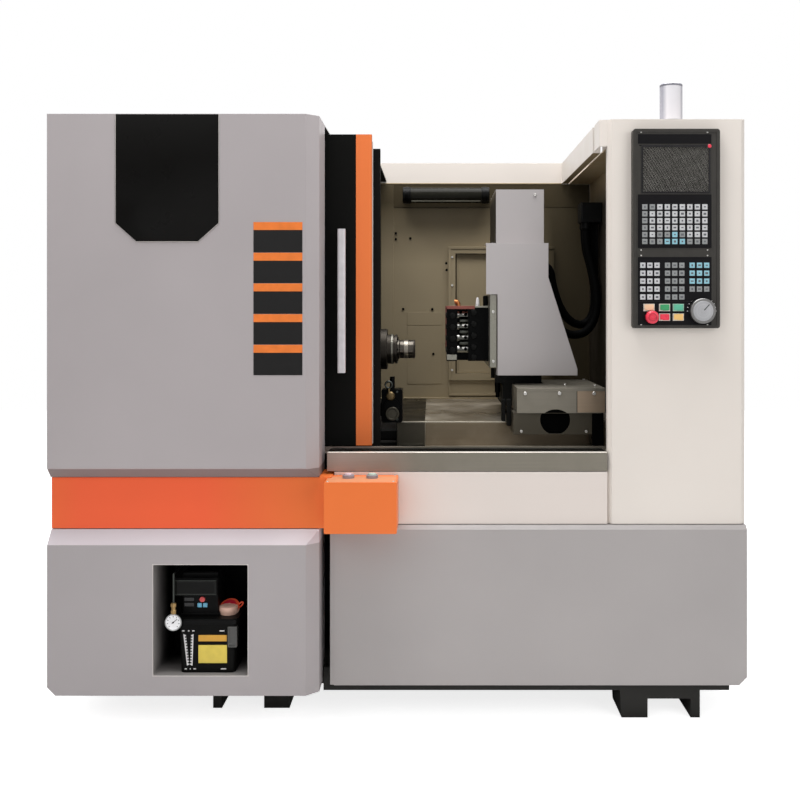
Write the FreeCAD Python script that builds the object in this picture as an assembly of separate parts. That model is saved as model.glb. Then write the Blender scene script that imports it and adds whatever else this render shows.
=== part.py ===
import FreeCAD, Part
import math
import os
from FreeCAD import Vector

# An enclosed gang-tool turning lathe, in millimetres.
# +X runs along the spindle axis to the right, +Y goes from the front to the rear, +Z is up.
# The origin is at the bottom centre of the machine's bounding box, on the floor.

# ---------------------------------------------------------------- driving dimensions

# Envelope
cover_top = 1802.0
cover_bottom = 114.0
front_y = -700.0
right_setback = 100.0
rear_y = 710.0
sheet = 3.0
seam = 2.0
past = 1.0
tolerance = 0.000001

# Left bay covers
left_bay_width = 786.0
opening_left = -242.0
opening_width = 858.0
left_cover_depth = 185.0
side_bevel = 35.0
upper_cover_bottom = 742.0
upper_bottom_bevel = 30.0
lower_cover_top = 590.0
lower_top_bevel_height = 40.0
lower_top_bevel_depth = 36.0
lower_corner_cut = 24.0
infill_half_width = 149.0
infill_foot_half_width = 89.5
infill_shoulder = 1485.0
infill_foot = 1432.0
infill_side_margin = 253.0
infill_proud = 1.5

# Orange band and switch box
band_setback = 38.0
switch_box_left = -221.0
switch_box_right = -12.0
switch_box_top = 739.0
switch_box_reach = 40.0
switch_box_edge = 4.0
switch_spacing = 70.0
switch_from_left = 64.0
switch_from_front = 80.0
switch_cap_radius = 12.5
switch_collar_radius = 16.5
switch_collar_height = 7.0
switch_cap_height = 14.0
switch_crown = 1.5

# Recess of the lubricator
recess_left = -720.0
recess_right = -446.0
recess_bottom = 172.5
recess_top = 493.5
recess_corner = 5.0
recess_depth = 250.0
liner_sheet = 2.5
liner_flange = 12.0
bar_hole_margin = 14.0

# Lubricator
tank_width = 168.0
tank_foot_width = 160.0
tank_height = 134.0
tank_depth = 160.0
tank_setback = 24.0
tank_from_recess_left = 69.0
tank_corner = 14.0
tank_flange_height = 24.0
tank_flange_overhang = 4.0
pump_head_width = 102.0
pump_head_height = 128.0
pump_head_setback = 34.0
pump_head_depth = 96.0
pump_head_inset = 5.0
pump_head_round = 6.0
pump_visor_width = 128.0
pump_visor_height = 49.0
pump_visor_rise = 66.0
pump_visor_depth = 30.0
pump_visor_side = 22.0
pump_visor_slope = 6.0
pump_visor_root = 5.0
filler_radius = 27.0
filler_height = 26.0
filler_from_right = 33.0
filler_from_front = 52.0
filler_neck_radius = 20.0
filler_step = 3.0
filler_round = 8.0
gauge_radius = 25.0
gauge_thickness = 12.0
gauge_rim = 3.0
gauge_rise = 17.5
gauge_offset = 13.0
gauge_fitting_radius = 5.0
gauge_fitting_height = 26.0
riser_radius = 3.0
riser_from_top = 30.0

# Right half of the front
column_width = 412.0
column_front_bevel = 12.0
column_fold = 13.0
column_return = 36.0
sill_left = -226.0
sill_bottom = 750.0
sill_top = 806.0
sill_top_depth = 88.0
sill_lip = 16.0
sill_sheet = 2.0
cream_panel_left = -204.0
lower_panel_proud = 16.0
lower_panel_edge = 12.0
panel_depth = 60.0

# Control panel
control_left = 685.5
control_width = 258.0
control_bottom = 1179.0
control_height = 592.0
control_thickness = 30.0
control_edge = 8.0
control_frame = 9.0
control_recess = 2.0
screen_left = 27.7
screen_width = 199.0
screen_height = 136.6
screen_from_top = 52.0
screen_thickness = 6.0
screen_round = 1.0
keypad_left = 24.0
keypad_width = 215.0
upper_keypad_from_top = 192.0
upper_keypad_height = 154.0
lower_keypad_from_top = 388.0
lower_keypad_height = 122.0
keypad_thickness = 1.2
push_size = 18.0
push_proud = 4.0
push_depth = 6.0
push_clearance = 0.4
push_pocket_depth = 13.0
push_round = 1.5
push_chamfer = 0.8
push_column_1 = 51.5
push_column_2 = 97.0
push_column_3 = 139.0
push_row_low = 33.0
push_row_high = 61.5
stop_radius = 19.5
stop_head_height = 16.0
stop_stem_radius = 9.0
stop_gap = 7.0
stop_dome = [(0.0, 0.45), (2.0, 0.75), (5.0, 0.95), (8.0, 1.0)]
stop_offset_x = 3.0
handwheel_radius = 37.5
handwheel_thickness = 20.0
handwheel_x = 203.5
handwheel_z = 51.0
handwheel_stem_radius = 8.0
handwheel_stem_length = 12.0
handwheel_face_depth = 3.0
handwheel_rim = 7.0
handwheel_round = 2.0

# Signal light
beacon_x = 839.0
beacon_radius = 35.0
beacon_height = 137.0
beacon_from_front = 150.0
beacon_base_height = 16.0
beacon_groove = 3.0

# Base
base_front_inset = 130.0
base_rear_inset = 30.0
base_side_inset = 40.0
base_bottom = 83.0
base_wall = 6.0
sump_depth = 70.0
foot_width = 242.0
foot_depth = 160.0
wide_leg = 84.0
thin_leg = 28.0
foot_taper = 5.0
foot_arch_top = 57.0
foot_left_x = -590.0
foot_right_x = 899.0
foot_left_setback = 75.0
foot_rear_inset = 90.0
foot_hole_radius = 8.0
anchor_spacing = 40.0

# Work area
partition_x = -124.0
partition_sheet = 6.0
partition_foot = 790.0
partition_top_drop = 21.0
post_left = -99.0
post_right = -74.0
flange_right = -92.0
post_depth = 20.0
partition_front_inset = 260.0
rear_wall_inset = 1030.0
rear_wall_bottom = 885.0
work_roof = 1805.0
inner_wall_x = 700.0
inner_wall_front = 48.0
beam_drop = 80.0
beam_depth = 22.0
rail_width = 24.0
header_depth = 108.0
rail_front_inset = 242.0
hatch_left = 151.0
hatch_right = 560.0
hatch_bottom = 960.0
hatch_top = 1478.0
hatch_frame = 26.0
hatch_depth = 18.0

# Door, drawn open
door_inset = 215.0
door_width = 730.0
door_sheet = 22.0
door_bottom = 812.0
door_edge_strip = 49.0
door_edge_chamfer = 2.0
door_roof_sheet = 16.0
door_roof_top = 1779.0
door_clearance = 4.0
rail_height = 14.0
rail_thickness = 10.0
handle_x = -190.0
handle_bottom = 1040.0
handle_top = 1482.0
handle_width = 24.0
handle_stand_off = 46.0
handle_foot = 34.0
handle_foot_inset = 17.0

# Spindle line
spindle_inset = 550.0
spindle_z = 1099.0
headstock_left = -640.0
headstock_half_depth = 130.0
headstock_top = 150.0
headstock_foot_depth = 360.0
headstock_foot_height = 40.0
headstock_waist = 70.0
headstock_slope = 60.0
headstock_shoulder = 50.0
nose_radius = 69.0
nose_length = 58.0
nose_clearance = 2.0
nose_recess_depth = 4.0
nose_recess_margin = 10.0
nose_recess_gap = 3.0
spindle_radius = 34.0
spindle_bore = 16.0
spindle_flange_radius = 50.0
spindle_flange_length = 35.0
spindle_tail = 30.0
flange_groove = 4.0
flange_groove_from_end = 12.0
flange_chamfer = 2.0
chuck_radius = 31.0
chuck_length = 60.0
chuck_bore = 11.0
chuck_collar_length = 6.0
chuck_collar_rise = 3.0
chuck_chamfer = 1.5
chuck_mouth = 4.0
bearing_gap = 0.3
pulley_radius = 78.0
pulley_width = 46.0
pulley_lip = 4.0
pulley_rim = 4.0
pulley_gap = 20.0
motor_pulley_radius = 52.0
belt_thickness = 5.0
belt_width = 36.0
belt_gap = 0.4
motor_rise = 320.0
motor_radius = 92.0
motor_length = 290.0
motor_shaft_radius = 16.0
motor_shaft_end = 4.0
motor_shaft_depth = 50.0
motor_well = 60.0
motor_gap = 12.0
motor_fins = 2
fin_groove_depth = 8.0
fin_groove_width = 4.0
bracket_left = 30.0
bracket_right = 40.0
bracket_half_depth = 60.0
bracket_overlap = 12.0
bracket_wall = 30.0
bracket_floor = 14.0

# Bed and long axis
bed_front_inset = 480.0
bed_rear_inset = 1000.0
bed_bottom = 180.0
bed_top = 700.0
bed_wall = 40.0
way_height = 80.0
way_width = 64.0
way_groove = 14.0
way_groove_low = 18.0
way_groove_high = 30.0
bed_left_overhang = 60.0
z_screw_drop = 40.0
front_way_inset = 540.0
rear_way_inset = 880.0
bed_right = 690.0
saddle_travel_left = 95.0
saddle_travel_right = 45.0
saddle_margin = 20.0
saddle_skirt = 40.0
saddle_top_gap = 12.0
nut_inset_x = 90.0
nut_half_depth = 40.0
nut_drop = 34.0
plate_margin_x = 6.0
plate_margin_y = 10.0
plate_rear_margin = 4.0
pad_height = 12.0
neck_lap = 4.0
screw_radius = 14.0
screw_clearance = 0.3
screw_journal = 34.0
screw_neck_share = 0.7
screw_lead_in_share = 0.15
z_screw_margin = 60.0
z_screw_overlap = 30.0
z_screw_inset = 740.0
servo_size = 90.0
servo_length = 170.0
servo_flange = 24.0
servo_margin = 6.0
servo_corner = 10.0
servo_plug_radius = 14.0
servo_plug_drop = 26.0
servo_plug_lap = 8.0
servo_plug_from_end = 30.0
servo_well = 36.0

# Bed cover and chute
chute_left = -30.0
chute_front_inset = 450.0
chute_front_z = 861.0
chute_rear_z = 888.0
chute_skirt = 82.0
chute_sheet = 2.0
neck_left = 450.0
neck_right = 550.0
neck_front_inset = 600.0
neck_rear_inset = 800.0
slot_clearance = 6.0

# Saddle and its covers
upper_box_left = 359.0
upper_box_right = 640.0
upper_box_front_inset = 300.0
upper_box_rear_inset = 700.0
upper_box_bottom = 904.0
upper_box_top = 982.0
box_sheet = 2.0
lower_box_left = 349.0
lower_box_right = 601.0
lower_box_bottom = 834.0
lower_box_setback = 18.0
lower_box_depth = 120.0
port_x = 483.0
port_z = 881.0
port_radius = 48.0
notch_radius = 60.0
notch_drop = 48.0
cutout_gap_x = 3.0
cutout_gap_y = 6.0
lower_box_gap = 1.0

# Column and tool slide
column_left = 305.0
column_right = 464.0
column_front_inset = 560.0
column_rear_inset = 850.0
column_top = 1560.0
column_wall = 16.0
way_strip = 25.0
way_strip_width = 30.0
way_strip_margin = 60.0
column_ribs = 3
tower_cover_front_inset = 520.0
tower_cover_top = 1643.0
tower_cover_bottom = 1012.0
tower_rear_margin = 20.0
tower_side_gap = 1.0
front_plate_inset = 430.0
front_plate_sheet = 3.0
plate_left = 267.0
plate_right = 473.5
plate_top = 1455.0
plate_shoulder = 1341.0
plate_skirt_right = 570.0
plate_skirt_bottom = 1016.0
plate_skirt_edge = 21.0
slide_plate_thickness = 25.0
slide_gap = 1.0
slide_plate_chamfer = 2.0
slide_nut_side = 10.0
slide_nut_half = 22.0
slide_nut_rise = 90.0
slide_nut_height = 60.0
slide_plate_bottom = 1041.0
slide_plate_top = 1285.0
slide_front_inset = 440.0
slide_rear_inset = 800.0
slide_up = 40.0
slide_down = 116.0
x_screw_inset = 660.0
x_screw_radius = 10.0
x_servo_size = 90.0
x_servo_flange = 14.0
x_servo_margin = 10.0
x_servo_corner = 8.0
x_servo_well = 30.0
x_screw_offset = 1.0
x_screw_overlap = 12.0

# Gang tool block
tool_block_left = 137.0
tool_left_clamp = 36.0
tool_right_clamp = 69.0
tool_block_bottom = 1060.0
tool_block_top = 1245.0
tool_block_half_depth = 48.0
tool_back_plate = 22.0
core_margin = 8.0
tool_block_chamfer = 4.0
tool_pitch = 39.0
tool_count = 4
sleeve_radius = 14.0
sleeve_proud = 3.0
sleeve_tip_radius = 9.0
sleeve_tip_taper = 1.0

# Coolant block by the spindle
nozzle_left = -77.0
nozzle_right = -9.0
nozzle_bottom = 866.0
nozzle_top = 1014.0
nozzle_inset = 375.0
nozzle_depth = 70.0
nozzle_pipe_radius = 8.0
nozzle_pipe_length = 40.0
nozzle_corner = 6.0
nozzle_boss_radius = 26.0
nozzle_boss_length = 10.0
nozzle_boss_x = 34.0
nozzle_boss_z = 52.0
nozzle_arm_front = 20.0
nozzle_arm_depth = 30.0
nozzle_arm_height = 40.0

# Work lamp
lamp_left = -26.0
lamp_right = 306.0
lamp_radius = 31.5
lamp_z = 1674.0
lamp_inset = 980.0
lamp_cap = 26.0
lamp_cap_round = 2.0
lamp_cap_rise = 3.0
lamp_arm_half = 6.0

# Conduits: route points as (x, inset from the front faces, z)
conduit_radius = 15.0
gland_radius = 18.5
gland_length = 26.0
cable_box_height = 70.0
cable_box_side = 3.0
cable_box_margin = 8.0
cable_box_corner = 5.0
gland_collar = 5.0
gland_lap = 2.0
conduit_gap = 1.0
cable_guard_inset = 806.0
cable_guard = [(631.0, 1620.0), (661.0, 1472.0), (679.0, 1395.0), (689.0, 1307.0), (698.0, 1307.0),
               (698.0, 1620.0)]
cable_guard_sheet = 6.0
bend_share = 0.45
upper_conduit_points = [(468.0, 738.0, 1398.0), (510.0, 738.0, 1398.0), (522.0, 739.0, 1322.0),
                        (548.0, 742.0, 1240.0), (592.0, 750.0, 1184.0), (646.0, 760.0, 1178.0),
                        (678.0, 770.0, 1228.0), (682.0, 779.0, 1306.0), (668.0, 786.0, 1388.0),
                        (645.0, 789.0, 1468.0), (645.0, 789.0, 1524.0)]
lower_conduit_points = [(468.0, 690.0, 1172.0), (526.0, 690.0, 1172.0), (584.0, 694.0, 1140.0),
                        (640.0, 703.0, 1152.0), (676.0, 716.0, 1208.0), (682.0, 728.0, 1288.0),
                        (669.0, 741.0, 1374.0), (645.0, 749.0, 1462.0), (645.0, 749.0, 1524.0)]
conduit_sides = 10

# Rear cabinet
cabinet_depth = 300.0
cabinet_wall = 2.5
cabinet_door_width = 900.0
cabinet_door_bottom = 640.0
cabinet_door_top = 1720.0
cabinet_door_x = -250.0
cabinet_door_thickness = 26.0
cabinet_door_overlap = 14.0
hinge_radius = 7.0
hinge_length = 60.0
louvre_count = 8
louvre_pitch = 26.0
louvre_from_top = 180.0
louvre_half_width = 150.0
louvre_height = 8.0
louvre_hood = 14.0
louvre_reach = 7.0
louvre_sheet = 1.5
knuckle_gap = 0.5
leaf_gap = 1.0
lock_radius = 13.0
lock_proud = 4.0
lock_from_edge = 40.0
lock_places = (0.25, 0.75)

# ---------------------------------------------------------------- derived places

left_bay_x = opening_left
left_x = left_bay_x - left_bay_width
column_x = opening_left + opening_width
right_x = column_x + column_width
right_front_y = front_y + right_setback
left_cover_back = front_y + left_cover_depth
cabinet_y = rear_y - cabinet_depth
lower_panel_y = right_front_y - lower_panel_proud
spindle_y = front_y + spindle_inset
door_y = front_y + door_inset
rear_wall_y = front_y + rear_wall_inset
control_y = right_front_y - control_thickness
way_top = bed_top + way_height
base_top = base_bottom + sump_depth


def inset(distance):
    """Y of a plane that lies this far behind the front faces of the left covers."""
    return front_y + distance


# ---------------------------------------------------------------- building helpers

def box(x, y, z):
    """Block from three (low, high) pairs."""
    return Part.makeBox(x[1] - x[0], y[1] - y[0], z[1] - z[0], Vector(x[0], y[0], z[0]))


def outline_point(plane, level, a, b):
    """Point of a flat outline in plane xy, xz or yz, at its level on the third axis."""
    if plane == "xy":
        return Vector(a, b, level)
    if plane == "xz":
        return Vector(a, level, b)
    return Vector(level, a, b)


def prism(plane, points, low, high):
    """Straight prism on a polygon, from low to high on the axis square to its plane."""
    along = {"xy": Vector(0, 0, 1), "xz": Vector(0, 1, 0), "yz": Vector(1, 0, 0)}[plane]
    kept = [p for i, p in enumerate(points) if p != points[i - 1]]
    corners = [outline_point(plane, low, a, b) for a, b in kept]
    return Part.Face(Part.makePolygon(corners + corners[:1])).extrude(along * (high - low))


def rod(axis, centre, radius, length):
    """Round bar that starts at centre and runs along +X, +Y or +Z."""
    along = {"x": Vector(1, 0, 0), "y": Vector(0, 1, 0), "z": Vector(0, 0, 1)}[axis]
    return Part.makeCylinder(radius, length, Vector(*centre), along)


def ring(axis, centre, outer, inner, length):
    """Round tube that starts at centre."""
    return rod(axis, centre, outer, length).cut(rod(axis, centre, inner, length))


def turned(profile, centre, axis):
    """Body of revolution from (along, radius) points, on an axis through centre."""
    corners = [Vector(along, radius, 0) for along, radius in profile]
    body = Part.Face(Part.makePolygon(corners + corners[:1])).revolve(Vector(), Vector(1, 0, 0), 360)
    if axis == "y":
        body.rotate(Vector(), Vector(0, 0, 1), 90)
    if axis == "z":
        body.rotate(Vector(), Vector(0, 1, 0), -90)
    body.translate(Vector(*centre))
    return body


def round_block(plane, first, second, radius, low, high):
    """Block with rounded corners, seen square to its plane, from low to high."""
    shape = prism(plane, [(first[0], second[0]), (first[1], second[0]),
                          (first[1], second[1]), (first[0], second[1])], low, high)
    axis = {"xy": 2, "xz": 1, "yz": 0}[plane]
    edges = [e for e in shape.Edges if abs(abs(e.tangentAt(e.FirstParameter)[axis]) - 1) < tolerance]
    return shape.makeFillet(radius, edges)


def bevelled_block(x, y, z, right=0.0, bottom=0.0, top=(0.0, 0.0)):
    """Block with its front edges cut back: right and bottom at 45 degrees, top by (height, depth)."""
    plan = [(x[0], y[0]), (x[1] - right, y[0]), (x[1], y[0] + right), (x[1], y[1]), (x[0], y[1])]
    side = [(y[0], z[0] + bottom), (y[0] + bottom, z[0]), (y[1], z[0]), (y[1], z[1]),
            (y[0] + top[1], z[1]), (y[0], z[1] - top[0])]
    return prism("xy", plan, z[0], z[1]).common(prism("yz", side, x[0], x[1]))


def bevelled_cover(x, y, z, wall, right=0.0, bottom=0.0, top=(0.0, 0.0)):
    """Folded cover, open at the rear, with the bevels of bevelled_block."""
    shrink = wall * (2 - math.sqrt(2))
    inner = bevelled_block((x[0] + wall, x[1] - wall), (y[0] + wall, y[1] + wall),
                           (z[0] + wall, z[1] - wall),
                           right=max(right - shrink, 0.0), bottom=max(bottom - shrink, 0.0),
                           top=(max(top[0] - shrink, 0.0), max(top[1] - shrink, 0.0)))
    return bevelled_block(x, y, z, right, bottom, top).cut(inner)


def joined(shapes):
    """One solid from pieces that are welded or folded together."""
    return shapes[0].fuse(shapes[1:]).removeSplitter()


def mirrored_points(centre, points):
    """Outline closed by its mirror image about a vertical line."""
    return ([(centre + a, b) for a, b in points]
            + [(centre - a, b) for a, b in reversed(points)])


def save(name, shape):
    """Write one node: a solid, or a group of separate solids."""
    shape.exportStep("parts/" + name + ".step")


# ---------------------------------------------------------------- left bay

def upper_left_cover():
    """Big folded cover with its raised infill field."""
    cover = bevelled_cover((left_x, left_bay_x), (front_y, left_cover_back),
                           (upper_cover_bottom + seam, cover_top), sheet,
                           right=side_bevel, bottom=upper_bottom_bevel)
    centre = left_bay_x - side_bevel - infill_side_margin - infill_half_width
    field = mirrored_points(centre, [(infill_half_width, cover_top),
                                     (infill_half_width, infill_shoulder),
                                     (infill_foot_half_width, infill_foot)])
    return joined([cover, prism("xz", field, front_y - infill_proud, front_y + sheet)])


def orange_band():
    """Orange strip that runs on into the switch box, with the holes of its two buttons."""
    band_y = front_y + band_setback
    band = bevelled_cover((left_x, left_bay_x + side_bevel), (band_y, left_cover_back),
                          (lower_cover_top + seam, upper_cover_bottom), sheet)
    box_y = front_y - switch_box_reach
    shell = round_block("xz", (switch_box_left, switch_box_right),
                        (lower_cover_top + seam, switch_box_top), switch_box_edge,
                        box_y, right_front_y - seam)
    hollow = box((switch_box_left + sheet, switch_box_right - sheet),
                 (box_y + sheet, right_front_y),
                 (lower_cover_top + seam + sheet, switch_box_top - sheet))
    inside = box((left_x + sheet, switch_box_left + sheet), (band_y + sheet, left_cover_back),
                 (lower_cover_top + seam + sheet, switch_box_top - sheet))
    collars = []
    holes = []
    for x in switch_places():
        collars.append(rod("z", (x, switch_y(), switch_box_top - sheet), switch_collar_radius,
                           sheet + switch_collar_height))
        holes.append(rod("z", (x, switch_y(), switch_box_top - 2 * sheet),
                         switch_cap_radius + bearing_gap, 4 * sheet + switch_collar_height))
    return joined([band, shell.cut(hollow)] + collars).cut([inside] + holes)


def switch_places():
    """X of the two round buttons on the switch box."""
    first = switch_box_left + switch_from_left
    return [first, first + switch_spacing]


def switch_y():
    """Y of the round buttons on the switch box."""
    return front_y - switch_box_reach + switch_from_front


def switch_button(x):
    """Round push-button cap with its guide stem."""
    low = switch_box_top - 2 * sheet
    high = switch_box_top + switch_cap_height
    return turned([(low, 0), (low, switch_cap_radius), (high - switch_crown, switch_cap_radius),
                   (high, switch_cap_radius - switch_crown), (high, 0)], (x, switch_y(), 0), "z")


def recess_hole(radius, grow, low, high):
    """Block in the form of the recess, larger than its opening by grow."""
    return round_block("xz", (recess_left - grow, recess_right + grow),
                       (recess_bottom - grow, recess_top + grow), radius, low, high)


def lower_left_cover():
    """Folded cover with the opening of the lubricator recess."""
    cover = bevelled_cover((left_x, left_bay_x), (front_y, left_cover_back),
                           (cover_bottom, lower_cover_top), sheet, right=side_bevel,
                           top=(lower_top_bevel_height, lower_top_bevel_depth))
    corner = prism("xz", [(left_x, cover_bottom), (left_x + lower_corner_cut, cover_bottom),
                          (left_x, cover_bottom + lower_corner_cut)],
                   front_y - seam, left_cover_back + seam)
    return cover.cut([corner, recess_hole(recess_corner, 0.0, front_y - sheet, front_y + 2 * sheet)])


def recess_liner():
    """Folded box behind the opening, with a flange against the cover."""
    front = front_y + sheet
    outside = recess_hole(recess_corner + liner_sheet, liner_sheet, front, front + recess_depth)
    flange = recess_hole(recess_corner + liner_flange, liner_flange, front, front + liner_sheet)
    inside = recess_hole(recess_corner, 0.0, front - sheet, front + recess_depth - liner_sheet)
    return joined([outside, flange]).cut(inside)


def left_side_panel():
    """Side sheet with the rimmed hole that the bar stock goes through."""
    panel = box((left_x, left_x + sheet), (left_cover_back + seam, cabinet_y - seam),
                (cover_bottom, cover_top - sheet - seam))
    hole_radius = spindle_bore + bar_hole_margin
    rim = rod("x", (left_x, spindle_y, spindle_z), hole_radius + 2 * sheet, 3 * sheet)
    hole = rod("x", (left_x - past, spindle_y, spindle_z), hole_radius, 3 * sheet + 2 * past)
    return joined([panel, rim]).cut(hole)


def left_roof():
    """Flat top sheet of the left bay."""
    return box((left_x, left_bay_x), (left_cover_back + seam, cabinet_y - seam),
               (cover_top - sheet, cover_top))


# ---------------------------------------------------------------- lubricator

def tank_x():
    """X of the lubricator tank's centre."""
    return recess_left + tank_from_recess_left + tank_width / 2


def tank_top():
    """Z of the tank's upper rim, under its flange."""
    return recess_bottom + tank_height


def lubricator_tank():
    """Moulded oil tank: tapered walls, rounded corners and a flange with the filler neck."""
    top = tank_top()
    y = (inset(tank_setback), inset(tank_setback + tank_depth))
    taper = (tank_width - tank_foot_width) / 2
    sections = []
    for half, z in ((tank_foot_width / 2, recess_bottom), (tank_width / 2, top)):
        draft = taper if z == recess_bottom else 0.0
        block = round_block("xy", (tank_x() - half, tank_x() + half),
                            (y[0] + draft / 2, y[1] - draft / 2), tank_corner, z, z + past)
        face = [f for f in block.Faces if abs(f.CenterOfMass.z - z) < tolerance][0]
        sections.append(face.OuterWire)
    body = Part.makeLoft(sections, True, True)
    rim_half = tank_width / 2 + tank_flange_overhang
    rim = round_block("xy", (tank_x() - rim_half, tank_x() + rim_half),
                      (y[0] - tank_flange_overhang, y[1] + tank_flange_overhang),
                      tank_corner + tank_flange_overhang, top, top + tank_flange_height)
    neck = rod("z", filler_foot(), filler_neck_radius, filler_height / 3)
    return joined([body, rim, neck])


def filler_foot():
    """Point where the filler neck stands on the tank's flange."""
    return (tank_x() + tank_width / 2 - filler_from_right, inset(tank_setback + filler_from_front),
            tank_top() + tank_flange_height)


def filler_cap():
    """Screw cap over the filler neck, hollow below, with a brim and a raised middle."""
    neck = filler_neck_radius + bearing_gap
    low = bearing_gap
    brim = filler_height / 2
    top_inside = filler_height / 3 + bearing_gap
    middle = filler_radius - filler_step
    shoulder = filler_height - filler_step
    return turned([(low, neck), (low, middle), (brim, filler_radius), (shoulder, filler_radius),
                   (filler_height, filler_radius - filler_round), (filler_height, 0), (top_inside, 0),
                   (top_inside, neck)], filler_foot(), "z")


def lubricator_head():
    """Pump and timer housing on the tank, with the sloped visor of its display."""
    low = tank_top() + tank_flange_height
    front = inset(tank_setback + pump_head_setback)
    left = tank_x() - tank_width / 2 + pump_head_inset
    body = round_block("yz", (front, front + pump_head_depth), (low, low + pump_head_height),
                       pump_head_round, left, left + pump_head_width)
    visor_low = low + pump_visor_rise
    visor_top = visor_low + pump_visor_height
    reach = front - pump_visor_depth
    visor_left = left - pump_visor_side
    visor = prism("yz", [(front + pump_visor_root, visor_low), (reach, visor_low),
                         (reach + pump_visor_slope, visor_top), (front + pump_visor_root, visor_top)],
                  visor_left, visor_left + pump_visor_width)
    return joined([body, visor])


def pressure_gauge():
    """Round gauge seated on the front of the flange, with its fitting and the riser tube."""
    x = tank_x() - tank_width / 2 - gauge_offset
    y = inset(tank_setback) - tank_flange_overhang - gauge_thickness
    z = tank_top() + gauge_rise
    case = turned([(0, 0), (0, gauge_radius), (gauge_thickness, gauge_radius),
                   (gauge_thickness, 0)], (x, y, z), "y")
    dial = rod("y", (x, y - past, z), gauge_radius - gauge_rim, past + gauge_rim / 2)
    axis_y = y + gauge_thickness / 2
    fitting_z = z + gauge_radius - gauge_rim
    fitting = rod("z", (x, axis_y, fitting_z), gauge_fitting_radius, gauge_fitting_height)
    riser_z = fitting_z + gauge_fitting_height
    elbow_z = recess_top - riser_from_top
    riser = rod("z", (x, axis_y, riser_z), riser_radius, elbow_z - riser_z)
    elbow = Part.makeSphere(riser_radius, Vector(x, axis_y, elbow_z))
    back = front_y + sheet + recess_depth - liner_sheet
    level = rod("y", (x, axis_y, elbow_z), riser_radius, back - axis_y)
    return joined([case.cut(dial), fitting, riser, elbow, level])


# ---------------------------------------------------------------- right half of the front

def front_sill():
    """Folded stainless sill: face, flat top and a lip turned down at the rear."""
    y0 = right_front_y
    y1 = y0 + sill_top_depth
    t = sill_sheet
    profile = [(y0, sill_bottom), (y0, sill_top), (y1, sill_top), (y1, sill_top - sill_lip),
               (y1 - t, sill_top - sill_lip), (y1 - t, sill_top - t), (y0 + t, sill_top - t),
               (y0 + t, sill_bottom)]
    return joined([prism("yz", profile, sill_left, column_x - seam)] + door_rail())


def door_rail():
    """Lower guide of the door, welded behind the sill: a foot flange and an upright fin."""
    left = post_left - door_width
    right = inner_wall_x - seam
    mid = door_y + door_sheet / 2
    top = door_bottom - door_clearance
    lip_y = right_front_y + sill_top_depth - sill_sheet
    low = top - rail_height
    foot = box((left, right), (lip_y, mid + rail_thickness), (low - sheet, low))
    fin = box((left, right), (mid - rail_thickness / 4, mid + rail_thickness / 4), (low - past, top))
    return [foot, fin]


def cream_front_panel():
    """Folded panel between the sill and the lower cover."""
    return bevelled_cover((cream_panel_left, column_x - seam), (right_front_y, right_front_y + panel_depth),
                          (lower_cover_top + seam, sill_bottom - seam), sheet)


def lower_right_panel():
    """Lower cover that wraps round the right side, with a cut corner at its foot."""
    outer = bevelled_block((cream_panel_left, right_x), (lower_panel_y, cabinet_y - seam),
                           (cover_bottom, lower_cover_top), top=(lower_panel_edge, lower_panel_edge))
    inner = box((cream_panel_left - sheet, right_x - sheet), (lower_panel_y + sheet, cabinet_y),
                (cover_bottom - sheet, lower_cover_top + sheet))
    ledge = box((cream_panel_left, right_x - sheet),
                (lower_panel_y + lower_panel_edge, right_front_y + lower_panel_edge),
                (lower_cover_top - sheet, lower_cover_top))
    slope = bevelled_block((cream_panel_left, right_x), (lower_panel_y, right_front_y),
                           (lower_cover_top - 2 * lower_panel_edge, lower_cover_top),
                           top=(lower_panel_edge, lower_panel_edge))
    slope_inside = bevelled_block((cream_panel_left - sheet, right_x - sheet),
                                  (lower_panel_y + sheet, right_front_y + sheet),
                                  (lower_cover_top - 3 * lower_panel_edge, lower_cover_top - sheet),
                                  top=(lower_panel_edge - sheet, lower_panel_edge - sheet))
    corner = prism("xz", [(right_x, cover_bottom), (right_x - lower_corner_cut, cover_bottom),
                          (right_x, cover_bottom + lower_corner_cut)],
                   lower_panel_y - seam, cabinet_y)
    shell = outer.cut(inner)
    return joined([shell, ledge, slope.cut(slope_inside)]).cut(corner)


def right_column_cover():
    """Column housing: front with bevelled upright edges, right side and top."""
    b = column_front_bevel
    y0 = right_front_y
    y1 = cabinet_y - seam
    plan = [(column_x, y0 + b), (column_x + b, y0), (right_x - b, y0), (right_x, y0 + b),
            (right_x, y1), (right_x - sheet, y1), (right_x - sheet, y0 + column_fold),
            (right_x - column_fold, y0 + sheet), (column_x + column_fold, y0 + sheet),
            (column_x + sheet, y0 + column_fold), (column_x + sheet, y0 + column_return),
            (column_x, y0 + column_return)]
    walls = prism("xy", plan, lower_cover_top + seam, work_roof)
    z = (work_roof - sheet, work_roof)
    roof = box((inner_wall_x, right_x - sheet), (y0 + sheet, y1), z)
    front_roof = box((column_x + sheet, inner_wall_x),
                     (y0 + sheet, inset(rail_front_inset) - door_clearance), z)
    header_left = column_x - rail_width
    header = box((header_left, column_x + sheet), (y0 + b, y0 + header_depth),
                 (work_roof - beam_drop, work_roof))
    hollow = box((header_left + sheet, column_x), (y0 + b + sheet, y0 + header_depth + past),
                 (work_roof - beam_drop - past, work_roof - sheet))
    return joined([walls, roof, front_roof.cut(corner_wedges()), header.cut(hollow)])


def corner_wedges():
    """The two triangles that the upright bevels take off the column's roof."""
    b = column_front_bevel
    y0 = right_front_y
    wedges = []
    for x, side in ((column_x, 1), (right_x, -1)):
        plan = [(x, y0), (x + side * (b + sheet), y0), (x, y0 + b + sheet)]
        wedges.append(prism("xy", plan[::side], work_roof - 2 * sheet, work_roof + sheet))
    return wedges


# ---------------------------------------------------------------- control panel

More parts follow.
